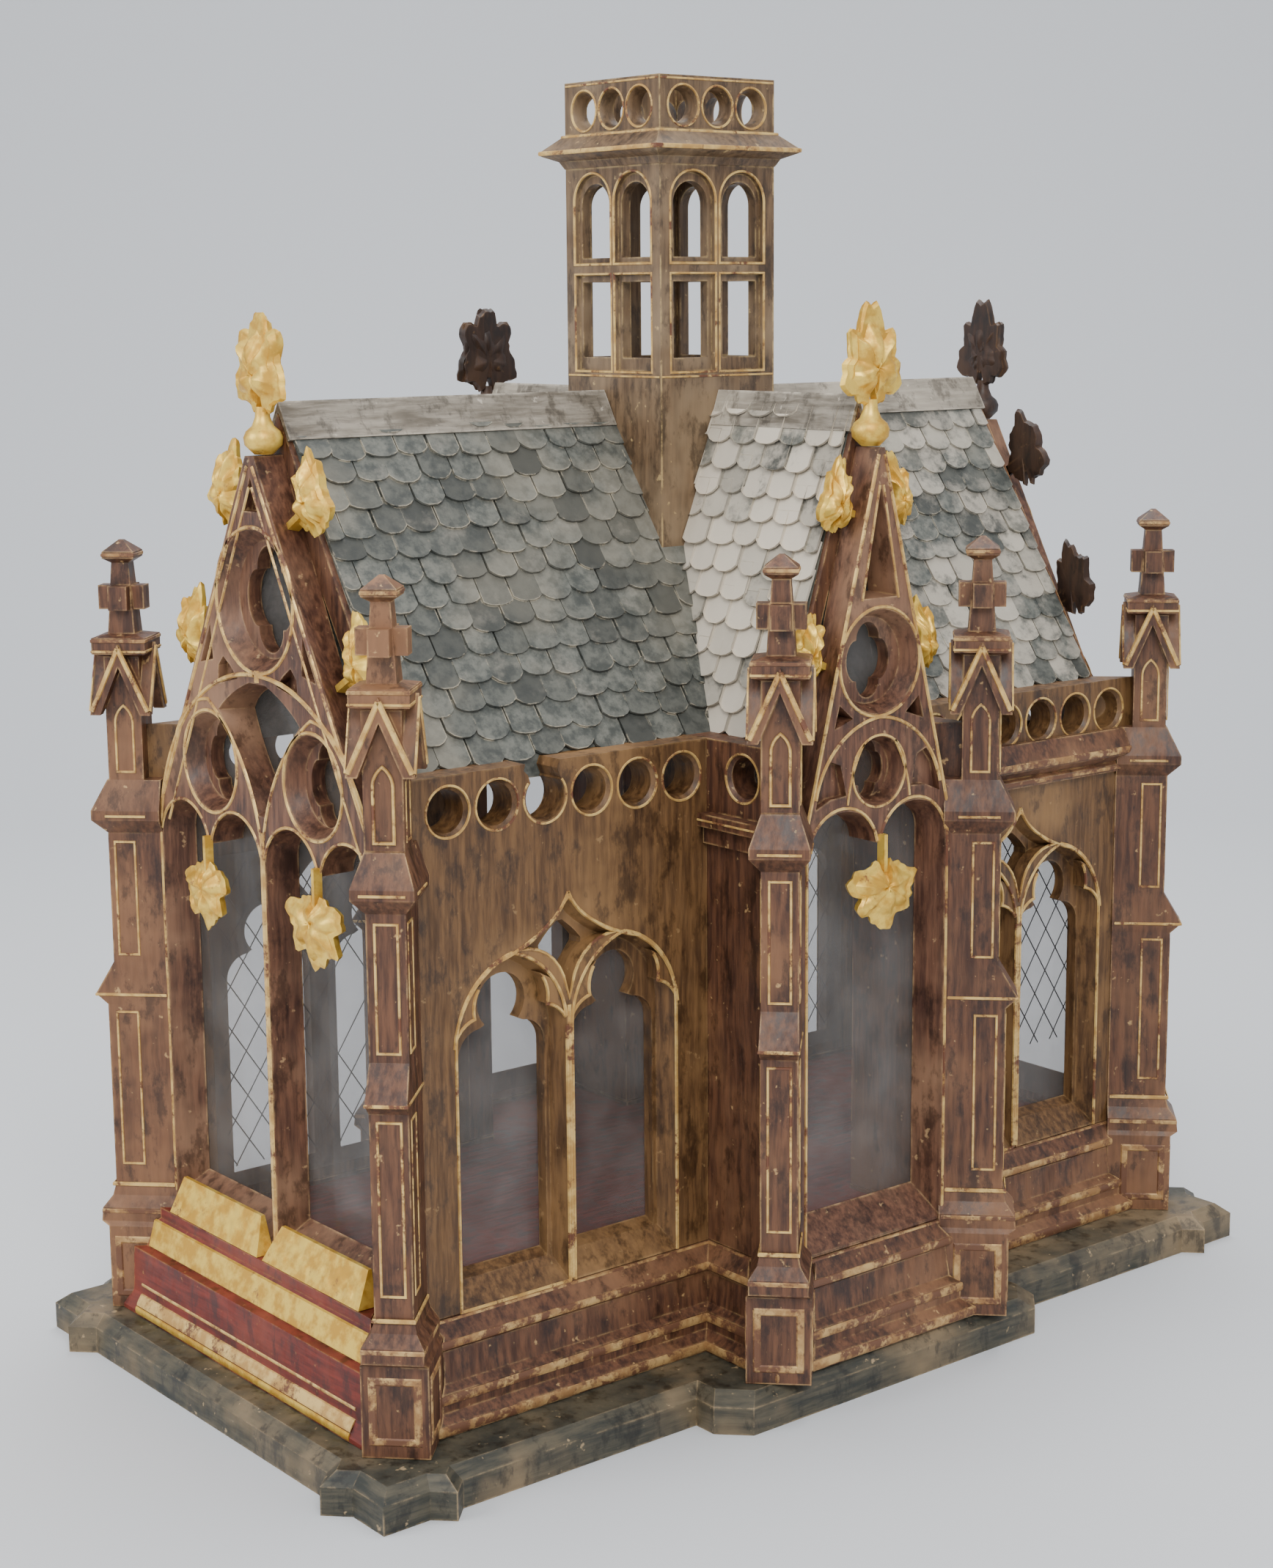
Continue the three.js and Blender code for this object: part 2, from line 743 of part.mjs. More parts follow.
// A leaf in elevation: stalk at the origin, tip up, swelling forward and back.
function leaf(halfWidth, height, front, back) {
  return loft([[-back, 1], [front, 0.66]].map(([at, scale]) => ({
    at,
    outline: leafOutline(halfWidth, height, scale),
  })));
}

function finial(arm) {
  const front = (arm === 'nave' ? NAVE : TRANSEPT).halfLength;
  const stalk = LEVEL.rakeCut + GAP;
  const knob = loft([[stalk, 6], [stalk + 4, 11], [stalk + 11, 11], [stalk + 24, 4]]
    .map(([at, radius]) => ({ at, outline: circle(0, 0, radius, 6) })));
  const blade = stand(leaf(27, 68, 9, 6)).translate(0, 0, stalk + 13);
  return join([knob, blade]).translate(0, BOARD / 2 - front, 0);
}

// Leaves on the rakes: how far their middle stands off, half width and height, for each arm.
const CROCKET = {
  heights: [540, 451],
  nave: { off: 24, halfWidth: 12.5, height: 44 },
  transept: { off: 13, halfWidth: 9.5, height: 42 },
};

// Places of the crockets on the two rakes of a gable front.
function crocketSpots(arm) {
  const rakeHalf = (arm === 'nave' ? NAVE_GABLE : TRANSEPT_GABLE).rakeHalf;
  const front = (arm === 'nave' ? NAVE : TRANSEPT).halfLength;
  const slope = rakeHalf / (LEVEL.rake - LEVEL.capBottom);
  return CROCKET.heights.flatMap((height) => [-1, 1].map((side) => ({
    ...CROCKET[arm],
    side,
    lean: Math.atan(slope),
    x: side * (LEVEL.rake - height) * slope,
    y: BOARD / 2 - front,
    z: height,
  })));
}

// A crocket: a leaf that springs from the outer edge of the rake, with a short stalk into it.
function crocket(spot, fused) {
  const { off, halfWidth, height, side, lean, x, y, z } = spot;
  const reach = fused ? -2 : GAP + 0.1;
  const stalk = stand(prism(rectangle(reach, -5, off, 5), -4, 5));
  const blade = stand(leaf(halfWidth, height, 8, 4)).translate(off, 0, -0.4 * height);
  const piece = join([stalk, blade]);
  const facing = side > 0 ? piece : piece.clone().rotateZ(Math.PI);
  return facing.rotateY(-side * lean).translate(x, y, z);
}

// A pendant leaf, hanging tip down in front of the tracery between two sub-heads.
function pendant(centre, halfWidth, front) {
  const hook = prism(rectangle(-3, -4, 3, 8), -2, 3);
  const blade = leaf(halfWidth, 48, 6, 3).rotateZ(Math.PI);
  return stand(join([blade, hook]).translate(centre, 338, front + 4));
}

// ---------------------------------------------------------------- glass

function bayPane(side) {
  const centre = side > 0 ? BAY.rightWindow : BAY.leftWindow;
  const half = WINDOW.halfWidth + 4;
  const back = NAVE.halfWidth - BOARD - GAP;
  return stand(prism(rectangle(centre - half, 96, centre + half, 318), back - PANE, back));
}

function gablePane(arm) {
  const isNave = arm === 'nave';
  const front = (isNave ? NAVE : TRANSEPT).halfLength;
  const half = isNave ? NAVE.halfWidth - BOARD - OVER : TRANSEPT.halfWidth - BOARD - OVER;
  const rakeHalf = isNave ? NAVE_GABLE.rakeHalf : TRANSEPT_GABLE.rakeHalf;
  const rise = (LEVEL.rake - LEVEL.capBottom) / rakeHalf;
  const drop = isNave ? 24 : 30;
  const apex = LEVEL.rake - drop;
  const shoulder = apex - rise * half;
  const outline = [point(-half, 94), point(half, 94), point(half, shoulder), point(0, apex), point(-half, shoulder)];
  const back = front - BOARD - GAP;
  return stand(prism(outline, back - PANE, back));
}

// ---------------------------------------------------------------- roofs

const ROOF = {
  thickness: 8,
  eaves: 13,
  naveEnd: NAVE.halfLength - BOARD - PANE - 3 * GAP,
  transeptEnd: TRANSEPT.halfLength - BOARD - PANE - 3 * GAP,
};

const roofSlope = (halfWidth) => (LEVEL.ridge - LEVEL.parapetTop) / halfWidth;

// A roof body standing along Y, ridge over x = 0.
function roofBody(halfWidth, end, inset) {
  const slope = roofSlope(halfWidth);
  const drop = inset * Math.hypot(1, slope);
  const half = halfWidth - inset;
  const foot = LEVEL.parapetTop - ROOF.eaves - (inset > 0 ? OVER : 0);
  const shoulder = LEVEL.ridge - drop - slope * half;
  const outline = [
    point(-half, foot),
    point(half, foot),
    point(half, Math.max(shoulder, foot + OVER)),
    point(0, LEVEL.ridge - drop),
    point(-half, Math.max(shoulder, foot + OVER)),
  ];
  return stand(prism(outline, -end, end));
}

// The end opening of the roof, kept inside the line of the gable's tracery.
function roofEndOpening(arm, end) {
  const rakeHalf = arm === 'nave' ? NAVE_GABLE.rakeHalf : TRANSEPT_GABLE.rakeHalf;
  const outline = [
    point(-rakeHalf + 18, LEVEL.capBottom),
    point(rakeHalf - 18, LEVEL.capBottom),
    point(0, LEVEL.rake - 34),
  ];
  return stand(prism(outline, -end - OVER, end + OVER));
}

function towerShaft(half, from, to) {
  return prism(rectangle(-half, -half, half, half), from, to).translate(0, TOWER.y, 0);
}

function roofShell() {
  const naveHalf = NAVE.halfWidth - BOARD - GAP;
  const transeptHalf = TRANSEPT.halfWidth - BOARD - GAP;
  const endBoard = 6;
  const outer = join([
    quarter(roofBody(naveHalf, ROOF.naveEnd, 0)),
    roofBody(transeptHalf, ROOF.transeptEnd, 0),
  ]);
  return cut(outer, [
    quarter(roofBody(naveHalf, ROOF.naveEnd - endBoard, ROOF.thickness)),
    roofBody(transeptHalf, ROOF.transeptEnd - endBoard, ROOF.thickness),
    quarter(roofEndOpening('nave', ROOF.naveEnd)),
    roofEndOpening('transept', ROOF.transeptEnd),
    towerShaft(TOWER.half + GAP, LEVEL.towerFoot - GAP, LEVEL.towerTop),
  ]);
}

// An angled ridge board standing along Y from one end to the other.
function ridgeCap(halfWidth, reach, from, to) {
  const slope = roofSlope(halfWidth);
  const under = LEVEL.ridge + 0.7;
  const rise = 6;
  const outline = [
    point(-reach, under - slope * reach),
    point(0, under),
    point(reach, under - slope * reach),
    point(reach + 2.5, under - slope * reach + 1),
    point(0, under + rise),
    point(-reach - 2.5, under - slope * reach + 1),
  ];
  return stand(prism(outline, from, to));
}

// ---------------------------------------------------------------- lantern tower

const LANTERN = {
  lightCentre: 20,
  panelHalf: 18,
  holeHalf: 14.5,
  archSpring: 726,
  transomTop: 688,
  transomBottom: 680,
  foot: 622,
  circleHeight: 782,
  circlePitch: 27.5,
  circleRadius: 11,
  deck: 757,
  floor: 600,
  cornice: 12,
};

// Sunk panels on one face of the lantern.
function lanternPanels() {
  const { lightCentre, panelHalf, archSpring, transomTop, transomBottom, foot } = LANTERN;
  const sink = 3;
  return [-lightCentre, lightCentre].flatMap((u) => {
    const upper = [
      point(u - panelHalf, transomTop - 1),
      point(u + panelHalf, transomTop - 1),
      ...arc(u, archSpring, panelHalf, panelHalf - 1, 0, 180, 4),
    ];
    const lower = rectangle(u - panelHalf, foot - 2, u + panelHalf, transomBottom + 1);
    return [upper, lower].map((outline) => prism(outline, TOWER.half - sink, TOWER.half + OVER));
  });
}

// Openings that run right through the lantern from face to face.
function lanternOpenings() {
  const { lightCentre, holeHalf, archSpring, transomTop, transomBottom, foot } = LANTERN;
  const reach = TOWER.half + OVER;
  const lights = [-lightCentre, lightCentre].flatMap((u) => [
    prism([
      point(u - holeHalf, transomTop + 3),
      point(u + holeHalf, transomTop + 3),
      ...arc(u, archSpring - 3, holeHalf, holeHalf + 1, 0, 180, 4),
    ], -reach, reach),
    prism(rectangle(u - holeHalf, foot + 6, u + holeHalf, transomBottom - 4), -reach, reach),
  ]);
  const eyes = [-1, 0, 1].map((i) => (
    prism(circle(i * LANTERN.circlePitch, LANTERN.circleHeight, LANTERN.circleRadius, 8), -reach, reach)
  ));
  return [...lights, ...eyes].map(stand);
}

function tower() {
  const { half, wall } = TOWER;
  const corniceSteps = [[746, -1], [752, 3], [755, LANTERN.cornice], [758, LANTERN.cornice], [768, -1]];
  const shaft = prism(rectangle(-half, -half, half, half), LEVEL.towerFoot, LEVEL.towerTop);
  const lip = loft(corniceSteps.map(([at, out]) => {
    const side = half + out;
    return { at, outline: rectangle(-side, -side, side, side) };
  }));
  const inner = half - wall;
  const room = rectangle(-inner, -inner, inner, inner);
  const hollows = [
    prism(room, LEVEL.towerFoot - OVER, LANTERN.floor - 8),
    prism(room, LANTERN.floor, LANTERN.deck - 8),
    prism(room, LANTERN.deck, LEVEL.towerTop + OVER),
  ];
  const turns = [0, 1, 2, 3].map((i) => (i * Math.PI) / 2);
  const panels = lanternPanels().flatMap((panel) => turns.map((a) => stand(panel).rotateZ(a)));
  const openings = lanternOpenings().flatMap((opening) => [opening, quarter(opening)]);
  return cut(join([shaft, lip]), [...hollows, ...panels, ...openings]).translate(0, TOWER.y, 0);
}

// ---------------------------------------------------------------- the reliquary

const reliquary = new THREE.Group();

function add(name, geometry, finish, turn = 0, parent = reliquary) {
  const mesh = new THREE.Mesh(geometry, new THREE.MeshStandardMaterial(FINISH[finish]));
  mesh.name = name;
  mesh.rotation.z = THREE.MathUtils.degToRad(turn);
  parent.add(mesh);
}

add('base_board', baseBoard(), 'baseGreen');
add('plinth', plinth(), 'redBrown');
add('floor_board', floorBoard(), 'floorRed');
add('plinth_left_end', endPlinth(), 'redBrown', -90);
add('plinth_right_end', endPlinth(), 'redBrown', 90);

const GABLES = [
  { name: 'left', arm: 'nave', turn: -90, hidden: false },
  { name: 'front', arm: 'transept', turn: 0, hidden: false },
  { name: 'right', arm: 'nave', turn: 90, hidden: true },
  { name: 'back', arm: 'transept', turn: 180, hidden: true },
];

for (const { name, arm, turn, hidden } of GABLES) {
  add(`gable_${name}`, gableFront(arm, hidden), 'redBrown', turn);
  add(`glass_gable_${name}`, gablePane(arm), 'glass', turn);
  add(`finial_${name}`, finial(arm), hidden ? 'redBrown' : 'gilt', turn);
  if (!hidden) {
    crocketSpots(arm).forEach((spot, i) => {
      add(`crocket_${name}_${i + 1}`, crocket(spot, false), 'gilt', turn);
    });
  }
}

add('pendant_leaf_left_1', pendant(-62, 24, NAVE.halfLength), 'gilt', -90);
add('pendant_leaf_left_2', pendant(62, 29, NAVE.halfLength), 'gilt', -90);
add('pendant_leaf_front', pendant(2, 30, TRANSEPT.halfLength), 'gilt');
add('gilt_sill_1', giltSill(-1), 'gilt', -90);
add('gilt_sill_2', giltSill(1), 'gilt', -90);

add('wall_front_left', bayWall(-1, true), 'ochre');
add('wall_front_right', bayWall(1, false), 'ochre');
add('wall_back_left', bayWall(1, false), 'ochre', 180);
add('wall_back_right', bayWall(-1, false), 'ochre', 180);
add('glass_front_left', bayPane(-1), 'glass');
add('glass_front_right', bayPane(1), 'glass');
add('glass_back_left', bayPane(1), 'glass', 180);
add('glass_back_right', bayPane(-1), 'glass', 180);
add('cornice_front_right', cornice(1), 'redBrown');
add('cornice_back_left', cornice(1), 'redBrown', 180);
add('cornice_back_right', cornice(-1), 'redBrown', 180);

add('transept_wall_front_left', returnWall(1), 'redBrown', -90);
add('transept_wall_front_right', returnWall(-1), 'redBrown', 90);
add('transept_wall_back_left', returnWall(-1), 'redBrown', -90);
add('transept_wall_back_right', returnWall(1), 'redBrown', 90);

const CORNER_NAMES = ['front_left', 'front_right', 'back_right', 'back_left'];
const pinnacledButtress = buttress();
CORNERS.forEach(([x, y], i) => {
  const place = CORNER_NAMES[i];
  add(`buttress_${place}`, atCorner(pinnacledButtress, BUTTRESS.nave, x, y), 'redBrown');
  add(`buttress_transept_${place}`, atCorner(pinnacledButtress, BUTTRESS.transept, x, y), 'redBrown');
});

add('roof_shell', roofShell(), 'slate');
const naveHalf = NAVE.halfWidth - BOARD;
const transeptHalf = TRANSEPT.halfWidth - BOARD;
const naveTip = NAVE.halfLength - BOARD - GAP;
const transeptTip = TRANSEPT.halfLength - BOARD - GAP;
add('ridge_cap_left', ridgeCap(naveHalf, 10, TOWER.half + GAP, naveTip), 'ridge', -90);
add('ridge_cap_right', ridgeCap(naveHalf, 10, TOWER.half + GAP, naveTip), 'ridge', 90);
add('ridge_cap_front', ridgeCap(transeptHalf, 5, TOWER.half - TOWER.y + GAP, transeptTip), 'ridge');
add('ridge_cap_back', ridgeCap(transeptHalf, 5, TOWER.half + TOWER.y + GAP, transeptTip), 'ridge', 180);
add('lantern_tower', tower(), 'redBrown');

export default reliquary;
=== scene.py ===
"""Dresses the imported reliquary: carved walls and tracery, gilding, shingles, leaves and glass."""
import math
import random

import bmesh
import bpy
from mathutils import Matrix, Vector
from mathutils.geometry import delaunay_2d_cdt


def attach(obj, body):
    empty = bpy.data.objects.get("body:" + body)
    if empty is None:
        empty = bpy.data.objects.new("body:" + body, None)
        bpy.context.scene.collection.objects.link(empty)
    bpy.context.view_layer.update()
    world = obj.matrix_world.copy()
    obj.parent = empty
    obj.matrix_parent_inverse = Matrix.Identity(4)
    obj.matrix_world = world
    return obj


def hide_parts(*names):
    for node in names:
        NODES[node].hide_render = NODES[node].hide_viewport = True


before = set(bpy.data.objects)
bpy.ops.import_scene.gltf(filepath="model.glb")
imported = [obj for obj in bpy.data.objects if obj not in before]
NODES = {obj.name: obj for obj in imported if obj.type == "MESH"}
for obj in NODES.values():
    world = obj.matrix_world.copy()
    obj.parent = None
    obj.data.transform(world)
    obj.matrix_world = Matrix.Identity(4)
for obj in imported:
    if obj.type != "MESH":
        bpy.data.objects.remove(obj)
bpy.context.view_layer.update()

MM = 0.001

# ---------------------------------------------------------------- sizes, in mm as in the solids

BOARD = 20
NAVE_LENGTH, NAVE_WIDTH = 309, 138
TRANSEPT_LENGTH, TRANSEPT_WIDTH = 204, 80
SILL, CAP, PARAPET, RAKE, RAKE_CUT, RIDGE = 87, 345, 405, 587, 578, 602
NAVE_BUTTRESS, TRANSEPT_BUTTRESS = (316, 146), (83, 208)
LEFT_WINDOW, RIGHT_WINDOW = -187, 197
LEFT_CIRCLES, RIGHT_CIRCLES = -185.5, 198.5
CIRCLE_Z, CIRCLE_PITCH, CIRCLE_RADIUS = 384, 34.1, 15
FOOT, TOP = SILL + 0.4, PARAPET - 0.2
NAVE_RAKE, TRANSEPT_RAKE = 129.7, 62.5
KNOB_LEVELS = ((578.6, 5.5), (581, 8), (584, 11), (588.5, 11.6), (592, 10), (595, 6.5), (600, 4.5), (606, 4))
CROCKET_LEVELS = (540, 451)
TURNS = {"front": 0, "right": 90, "back": 180, "left": -90}
NAVE_ENDS, GABLES = ("left", "right"), ("left", "right", "front", "back")

# ---------------------------------------------------------------- camera


def make_camera():
    yaw, pitch, roll = math.radians(51.12), math.radians(-10.5), math.radians(-0.48)
    forward = Vector((math.cos(pitch) * math.cos(yaw), math.cos(pitch) * math.sin(yaw), math.sin(pitch)))
    level = Vector((math.sin(yaw), -math.cos(yaw), 0))
    up = level.cross(forward)
    right = level * math.cos(roll) + up * math.sin(roll)
    above = right.cross(forward)
    data = bpy.data.cameras.new("camera")
    data.sensor_width = 36
    data.lens = 60.03
    data.clip_start, data.clip_end = 0.01, 50
    camera = bpy.data.objects.new("camera", data)
    camera.matrix_world = Matrix((
        (right.x, above.x, -forward.x, -1.08925),
        (right.y, above.y, -forward.y, -1.3214),
        (right.z, above.z, -forward.z, 0.66511),
        (0, 0, 0, 1),
    ))
    bpy.context.scene.collection.objects.link(camera)
    bpy.context.scene.camera = camera


make_camera()

# ---------------------------------------------------------------- materials


class Look:
    """A small builder of shader nodes round one Principled shader."""

    def __init__(self, name, **plain):
        self.material = bpy.data.materials.new(name)
        self.material.use_nodes = True
        self.tree = self.material.node_tree
        self.shader = self.tree.nodes["Principled BSDF"]
        for socket, value in plain.items():
            self.shader.inputs[socket.replace("_", " ")].default_value = value

    def node(self, kind, links=None, **settings):
        made = self.tree.nodes.new("ShaderNode" + kind)
        for key, value in settings.items():
            setattr(made, key, value)
        for key, value in (links or {}).items():
            self.feed(made.inputs[key], value)
        return made

    def feed(self, socket, value):
        if isinstance(value, bpy.types.NodeSocket):
            self.tree.links.new(value, socket)
        else:
            socket.default_value = value

    def place(self, scale=(1, 1, 1), warp=0.0):
        source = self.node("TexCoord").outputs["Object"]
        if warp:
            wobble = self.node("TexNoise", {"Vector": source, "Scale": 30.0, "Detail": 2.0}).outputs["Color"]
            shift = self.node("VectorMath", {0: wobble, 1: (0.5, 0.5, 0.5)}, operation="SUBTRACT").outputs[0]
            scaled = self.node("VectorMath", {0: shift, 3: warp}, operation="SCALE").outputs[0]
            source = self.node("VectorMath", {0: source, 1: scaled}, operation="ADD").outputs[0]
        return self.node("Mapping", {"Vector": source, "Scale": scale}).outputs[0]

    def noise(self, scale, detail=4.0, rough=0.6, stretch=(1, 1, 1), warp=0.0):
        where = self.place(stretch, warp)
        links = {"Vector": where, "Scale": scale, "Detail": detail, "Roughness": rough}
        return self.node("TexNoise", links).outputs["Fac"]

    def ramp(self, value, low, high, start=0.0, end=1.0):
        links = {"Value": value, "From Min": low, "From Max": high, "To Min": start, "To Max": end}
        return self.node("MapRange", links, interpolation_type="SMOOTHSTEP").outputs[0]

    def mix(self, factor, a, b, mode="MIX"):
        made = self.tree.nodes.new("ShaderNodeMix")
        made.data_type = "RGBA"
        made.blend_type = mode
        self.feed(made.inputs[0], factor)
        self.feed(made.inputs[6], tint(a))
        self.feed(made.inputs[7], tint(b))
        return made.outputs[2]

    def maths(self, operation, a, b=0.0):
        return self.node("Math", {0: a, 1: b}, operation=operation).outputs[0]

    def edges(self, radius, low=0.01, high=0.2):
        """How sharply the surface turns within the radius: worn edges."""
        soft = self.node("Bevel", {"Radius": radius}, samples=4).outputs[0]
        flat = self.node("NewGeometry").outputs["Normal"]
        dot = self.node("VectorMath", {0: soft, 1: flat}, operation="DOT_PRODUCT").outputs["Value"]
        return self.ramp(self.maths("SUBTRACT", 1.0, dot), low, high)

    def finish(self, colour=None, rough=None, bump=None, strength=0.3, distance=0.0006, metal=None):
        if colour is not None:
            self.feed(self.shader.inputs["Base Color"], colour)
        if rough is not None:
            self.feed(self.shader.inputs["Roughness"], rough)
        if metal is not None:
            self.feed(self.shader.inputs["Metallic"], metal)
        if bump is not None:
            links = {"Height": bump, "Strength": strength, "Distance": distance}
            made = self.node("Bump", links)
            self.feed(self.shader.inputs["Normal"], made.outputs[0])
        return self.material


def tint(value):
    """An sRGB triple 0-255 as the linear colour that a socket takes; a socket passes through."""
    if isinstance(value, bpy.types.NodeSocket):
        return value
    linear = [((c / 255 + 0.055) / 1.055) ** 2.4 if c > 10 else c / 255 / 12.92 for c in value]
    return (*linear, 1.0)


def wood(name, dark, mid, light, worn, grain=(1, 1, 0.08), wear=0.5, rough=(0.42, 0.65), dirt=0.6):
    """Old finished wood: long grain, cloudy tone, scuffed edges and dirt."""
    look = Look(name)
    streak = look.noise(260.0, 5.0, 0.65, grain, 0.004)
    cloud = look.noise(9.0, 4.0, 0.6)
    fleck = look.noise(75.0, 6.0, 0.7, (1, 1, 0.5))
    tone = look.mix(look.ramp(streak, 0.32, 0.7), dark, mid)
    tone = look.mix(look.maths("MULTIPLY", look.ramp(cloud, 0.45, 0.68), 0.75), tone, light)
    tone = look.mix(look.maths("MULTIPLY", look.ramp(fleck, 0.5, 0.36), dirt), tone, dark, "MULTIPLY")
    edge = look.edges(0.0022)
    patch = look.ramp(look.noise(55.0, 5.0, 0.7), 0.42, 0.6)
    rub = look.maths("MULTIPLY", look.maths("MULTIPLY", edge, patch), wear)
    scuff = look.maths("MULTIPLY", look.ramp(look.noise(140.0, 3.0, 0.6), 0.66, 0.74), wear * 0.8)
    tone = look.mix(look.maths("MAXIMUM", rub, scuff), tone, worn)
    gloss = look.ramp(fleck, 0.3, 0.7, rough[0], rough[1])
    height = look.maths("ADD", look.maths("MULTIPLY", streak, 0.6), look.maths("MULTIPLY", fleck, 0.6))
    return look.finish(tone, gloss, height, 0.35, 0.0004)


def gilding(name, bright, mid, under, lost, rough=0.36, metal=0.55):
    """Gold leaf over a red-brown ground, rubbed through where lost is high."""
    look = Look(name)
    mottle = look.noise(90.0, 4.0, 0.6)
    gone = look.noise(48.0, 6.0, 0.75)
    gold = look.mix(look.ramp(mottle, 0.38, 0.62), mid, bright)
    keep = look.ramp(gone, lost - 0.05, lost + 0.05)
    tone = look.mix(keep, under, gold)
    shine = look.maths("MULTIPLY", keep, metal)
    gloss = look.ramp(mottle, 0.3, 0.7, rough + 0.14, rough)
    height = look.maths("ADD", gone, look.maths("MULTIPLY", mottle, 0.4))
    return look.finish(tone, gloss, height, 0.5, 0.0005, shine)


OCHRE = wood("ochre_wood_aged", (72, 47, 24), (118, 85, 50), (146, 110, 68), (196, 160, 108), wear=0.35)
RED = wood("red_brown_aged", (60, 34, 22), (108, 70, 46), (138, 98, 66), (206, 168, 112), wear=0.75)
SPLAY = wood("tracery_red_aged", (68, 40, 28), (116, 78, 56), (148, 112, 84), (206, 170, 120), wear=0.6)
END_RED = wood("end_board_red", (82, 24, 18), (124, 44, 32), (136, 64, 46), (196, 148, 84),
               (0.08, 0.08, 1), 0.5)
TOWER_WOOD = wood("tower_wood_aged", (70, 50, 30), (116, 90, 62), (146, 124, 96), (206, 176, 120), wear=0.7)
BASE_WOOD = wood("base_wood_aged", (42, 44, 38), (84, 78, 62), (146, 124, 92), (186, 160, 120),
                 (0.1, 0.1, 1), 0.8)
FLOOR_WOOD = wood("floor_red_aged", (92, 26, 18), (138, 46, 34), (150, 66, 50), (160, 90, 70), (0.1, 1, 1), 0.1)
DARK_WOOD = wood("dark_leaf_wood", (36, 22, 14), (62, 40, 26), (84, 58, 38), (130, 96, 60), wear=0.5)
RIDGE_WOOD = wood("ridge_board_aged", (96, 88, 76), (150, 142, 128), (190, 180, 162), (214, 204, 186),
                  (0.1, 0.1, 1), 0.6, (0.6, 0.85))
GOLD = gilding("gilding_bright", (240, 202, 92), (206, 158, 58), (120, 62, 34), 0.34)
GOLD_LINE = gilding("gilding_worn", (226, 190, 118), (190, 148, 84), (104, 62, 40), 0.44, 0.42, 0.35)
GOLD_TAN = gilding("gilding_rubbed", (196, 160, 104), (156, 116, 72), (104, 68, 46), 0.5, 0.5, 0.2)


def slate_material():
    look = Look("shingles_aged_painted_highlight")
    spot = look.noise(120.0, 6.0, 0.7)
    cloud = look.noise(11.0, 4.0, 0.6)
    each = look.node("Attribute", attribute_name="tone").outputs["Fac"]
    pale_coat_and_highlight = look.node("Attribute", attribute_name="pale_coat_and_highlight").outputs["Fac"]
    tone = look.mix(look.ramp(spot, 0.35, 0.65), (62, 66, 62), (108, 109, 101))
    tone = look.mix(look.maths("MULTIPLY", look.ramp(cloud, 0.48, 0.66), 0.5), tone, (142, 136, 120))
    tone = look.mix(each, tone, (46, 48, 44))
    edge = look.edges(0.0016)
    chip = look.ramp(look.noise(85.0, 4.0, 0.7), 0.48, 0.6)
    tone = look.mix(look.maths("MULTIPLY", look.maths("MULTIPLY", edge, chip), 0.75), tone, (198, 186, 160))
    # Pale coat on the tiles, partly a pale weathered coat and partly a painted highlight: it is stronger where
    # the per-tile pale attribute is high, as on the transept's left-facing slope.
    worn = look.maths("ADD", look.noise(36.0, 5.0, 0.7), look.maths("MULTIPLY", pale_coat_and_highlight, 0.5))
    coat_and_highlight_mask = look.ramp(worn, 0.6, 0.8)
    tone = look.mix(look.maths("MULTIPLY", coat_and_highlight_mask, pale_coat_and_highlight), tone, (206, 196, 178))
    return look.finish(tone, look.ramp(spot, 0.3, 0.7, 0.5, 0.8), spot, 0.5, 0.0006)


def glass_material(name, colour, alpha, rough):
    look = Look(name, Alpha=alpha, Roughness=rough, IOR=1.5)
    look.material.surface_render_method = "BLENDED"
    dust = look.noise(24.0, 5.0, 0.6)
    tone = look.mix(look.ramp(dust, 0.35, 0.7), colour, tuple(min(255, c + 34) for c in colour))
    return look.finish(tone)


SLATE = slate_material()
GLASS = glass_material("old_glass", (112, 108, 104), 0.22, 0.04)


def plain_material(name, colour, rough):
    look = Look(name)
    tone = look.mix(look.ramp(look.noise(60.0, 4.0), 0.35, 0.65), colour, tuple(c * 0.75 for c in colour))
    return look.finish(tone, rough)


LEAD = plain_material("lattice_black", (22, 20, 20), 0.5)

# ---------------------------------------------------------------- outlines in a front's own plane


def arc(cx, cz, rx, rz, start, end, steps):
    angles = [math.radians(start + (end - start) * i / steps) for i in range(steps + 1)]
    return [(cx + rx * math.cos(a), cz + rz * math.sin(a)) for a in angles]


def circle(cx, cz, radius, sides=40):
    return arc(cx, cz, radius, radius, 0, 360 - 360 / sides, sides - 1)


def through(a, b, c, steps):
    """The circular arc that runs from a through b to c."""
    ax, az, bx, bz, cx, cz = *a, *b, *c
    d = 2 * (ax * (bz - cz) + bx * (cz - az) + cx * (az - bz))
    sa, sb, sc = ax * ax + az * az, bx * bx + bz * bz, cx * cx + cz * cz
    mx = (sa * (bz - cz) + sb * (cz - az) + sc * (az - bz)) / d
    mz = (sa * (cx - bx) + sb * (ax - cx) + sc * (bx - ax)) / d
    start = math.atan2(az - mz, ax - mx)
    middle = math.atan2(bz - mz, bx - mx)
    end = math.atan2(cz - mz, cx - mx)
    turn = (end - start) % math.tau
    if (middle - start) % math.tau > turn:
        turn -= math.tau
    radius = math.hypot(ax - mx, az - mz)
    return [(mx + radius * math.cos(start + turn * i / steps), mz + radius * math.sin(start + turn * i / steps))
            for i in range(steps + 1)]


def pointed_head(cx, spring, half, rise, steps):
    radius = (half ** 2 + rise ** 2) / (2 * half)
    sweep = math.degrees(math.atan2(rise, radius - half))
    right = arc(cx + half - radius, spring, radius, radius, 0, sweep, steps)
    left = arc(cx - half + radius, spring, radius, radius, 180 - sweep, 180, steps)
    return right + left[1:]


def mirror(outline, about=0):
    return [(2 * about - x, z) for x, z in reversed(outline)]


def shift(outline, du):
    return [(u + du, z) for u, z in outline]


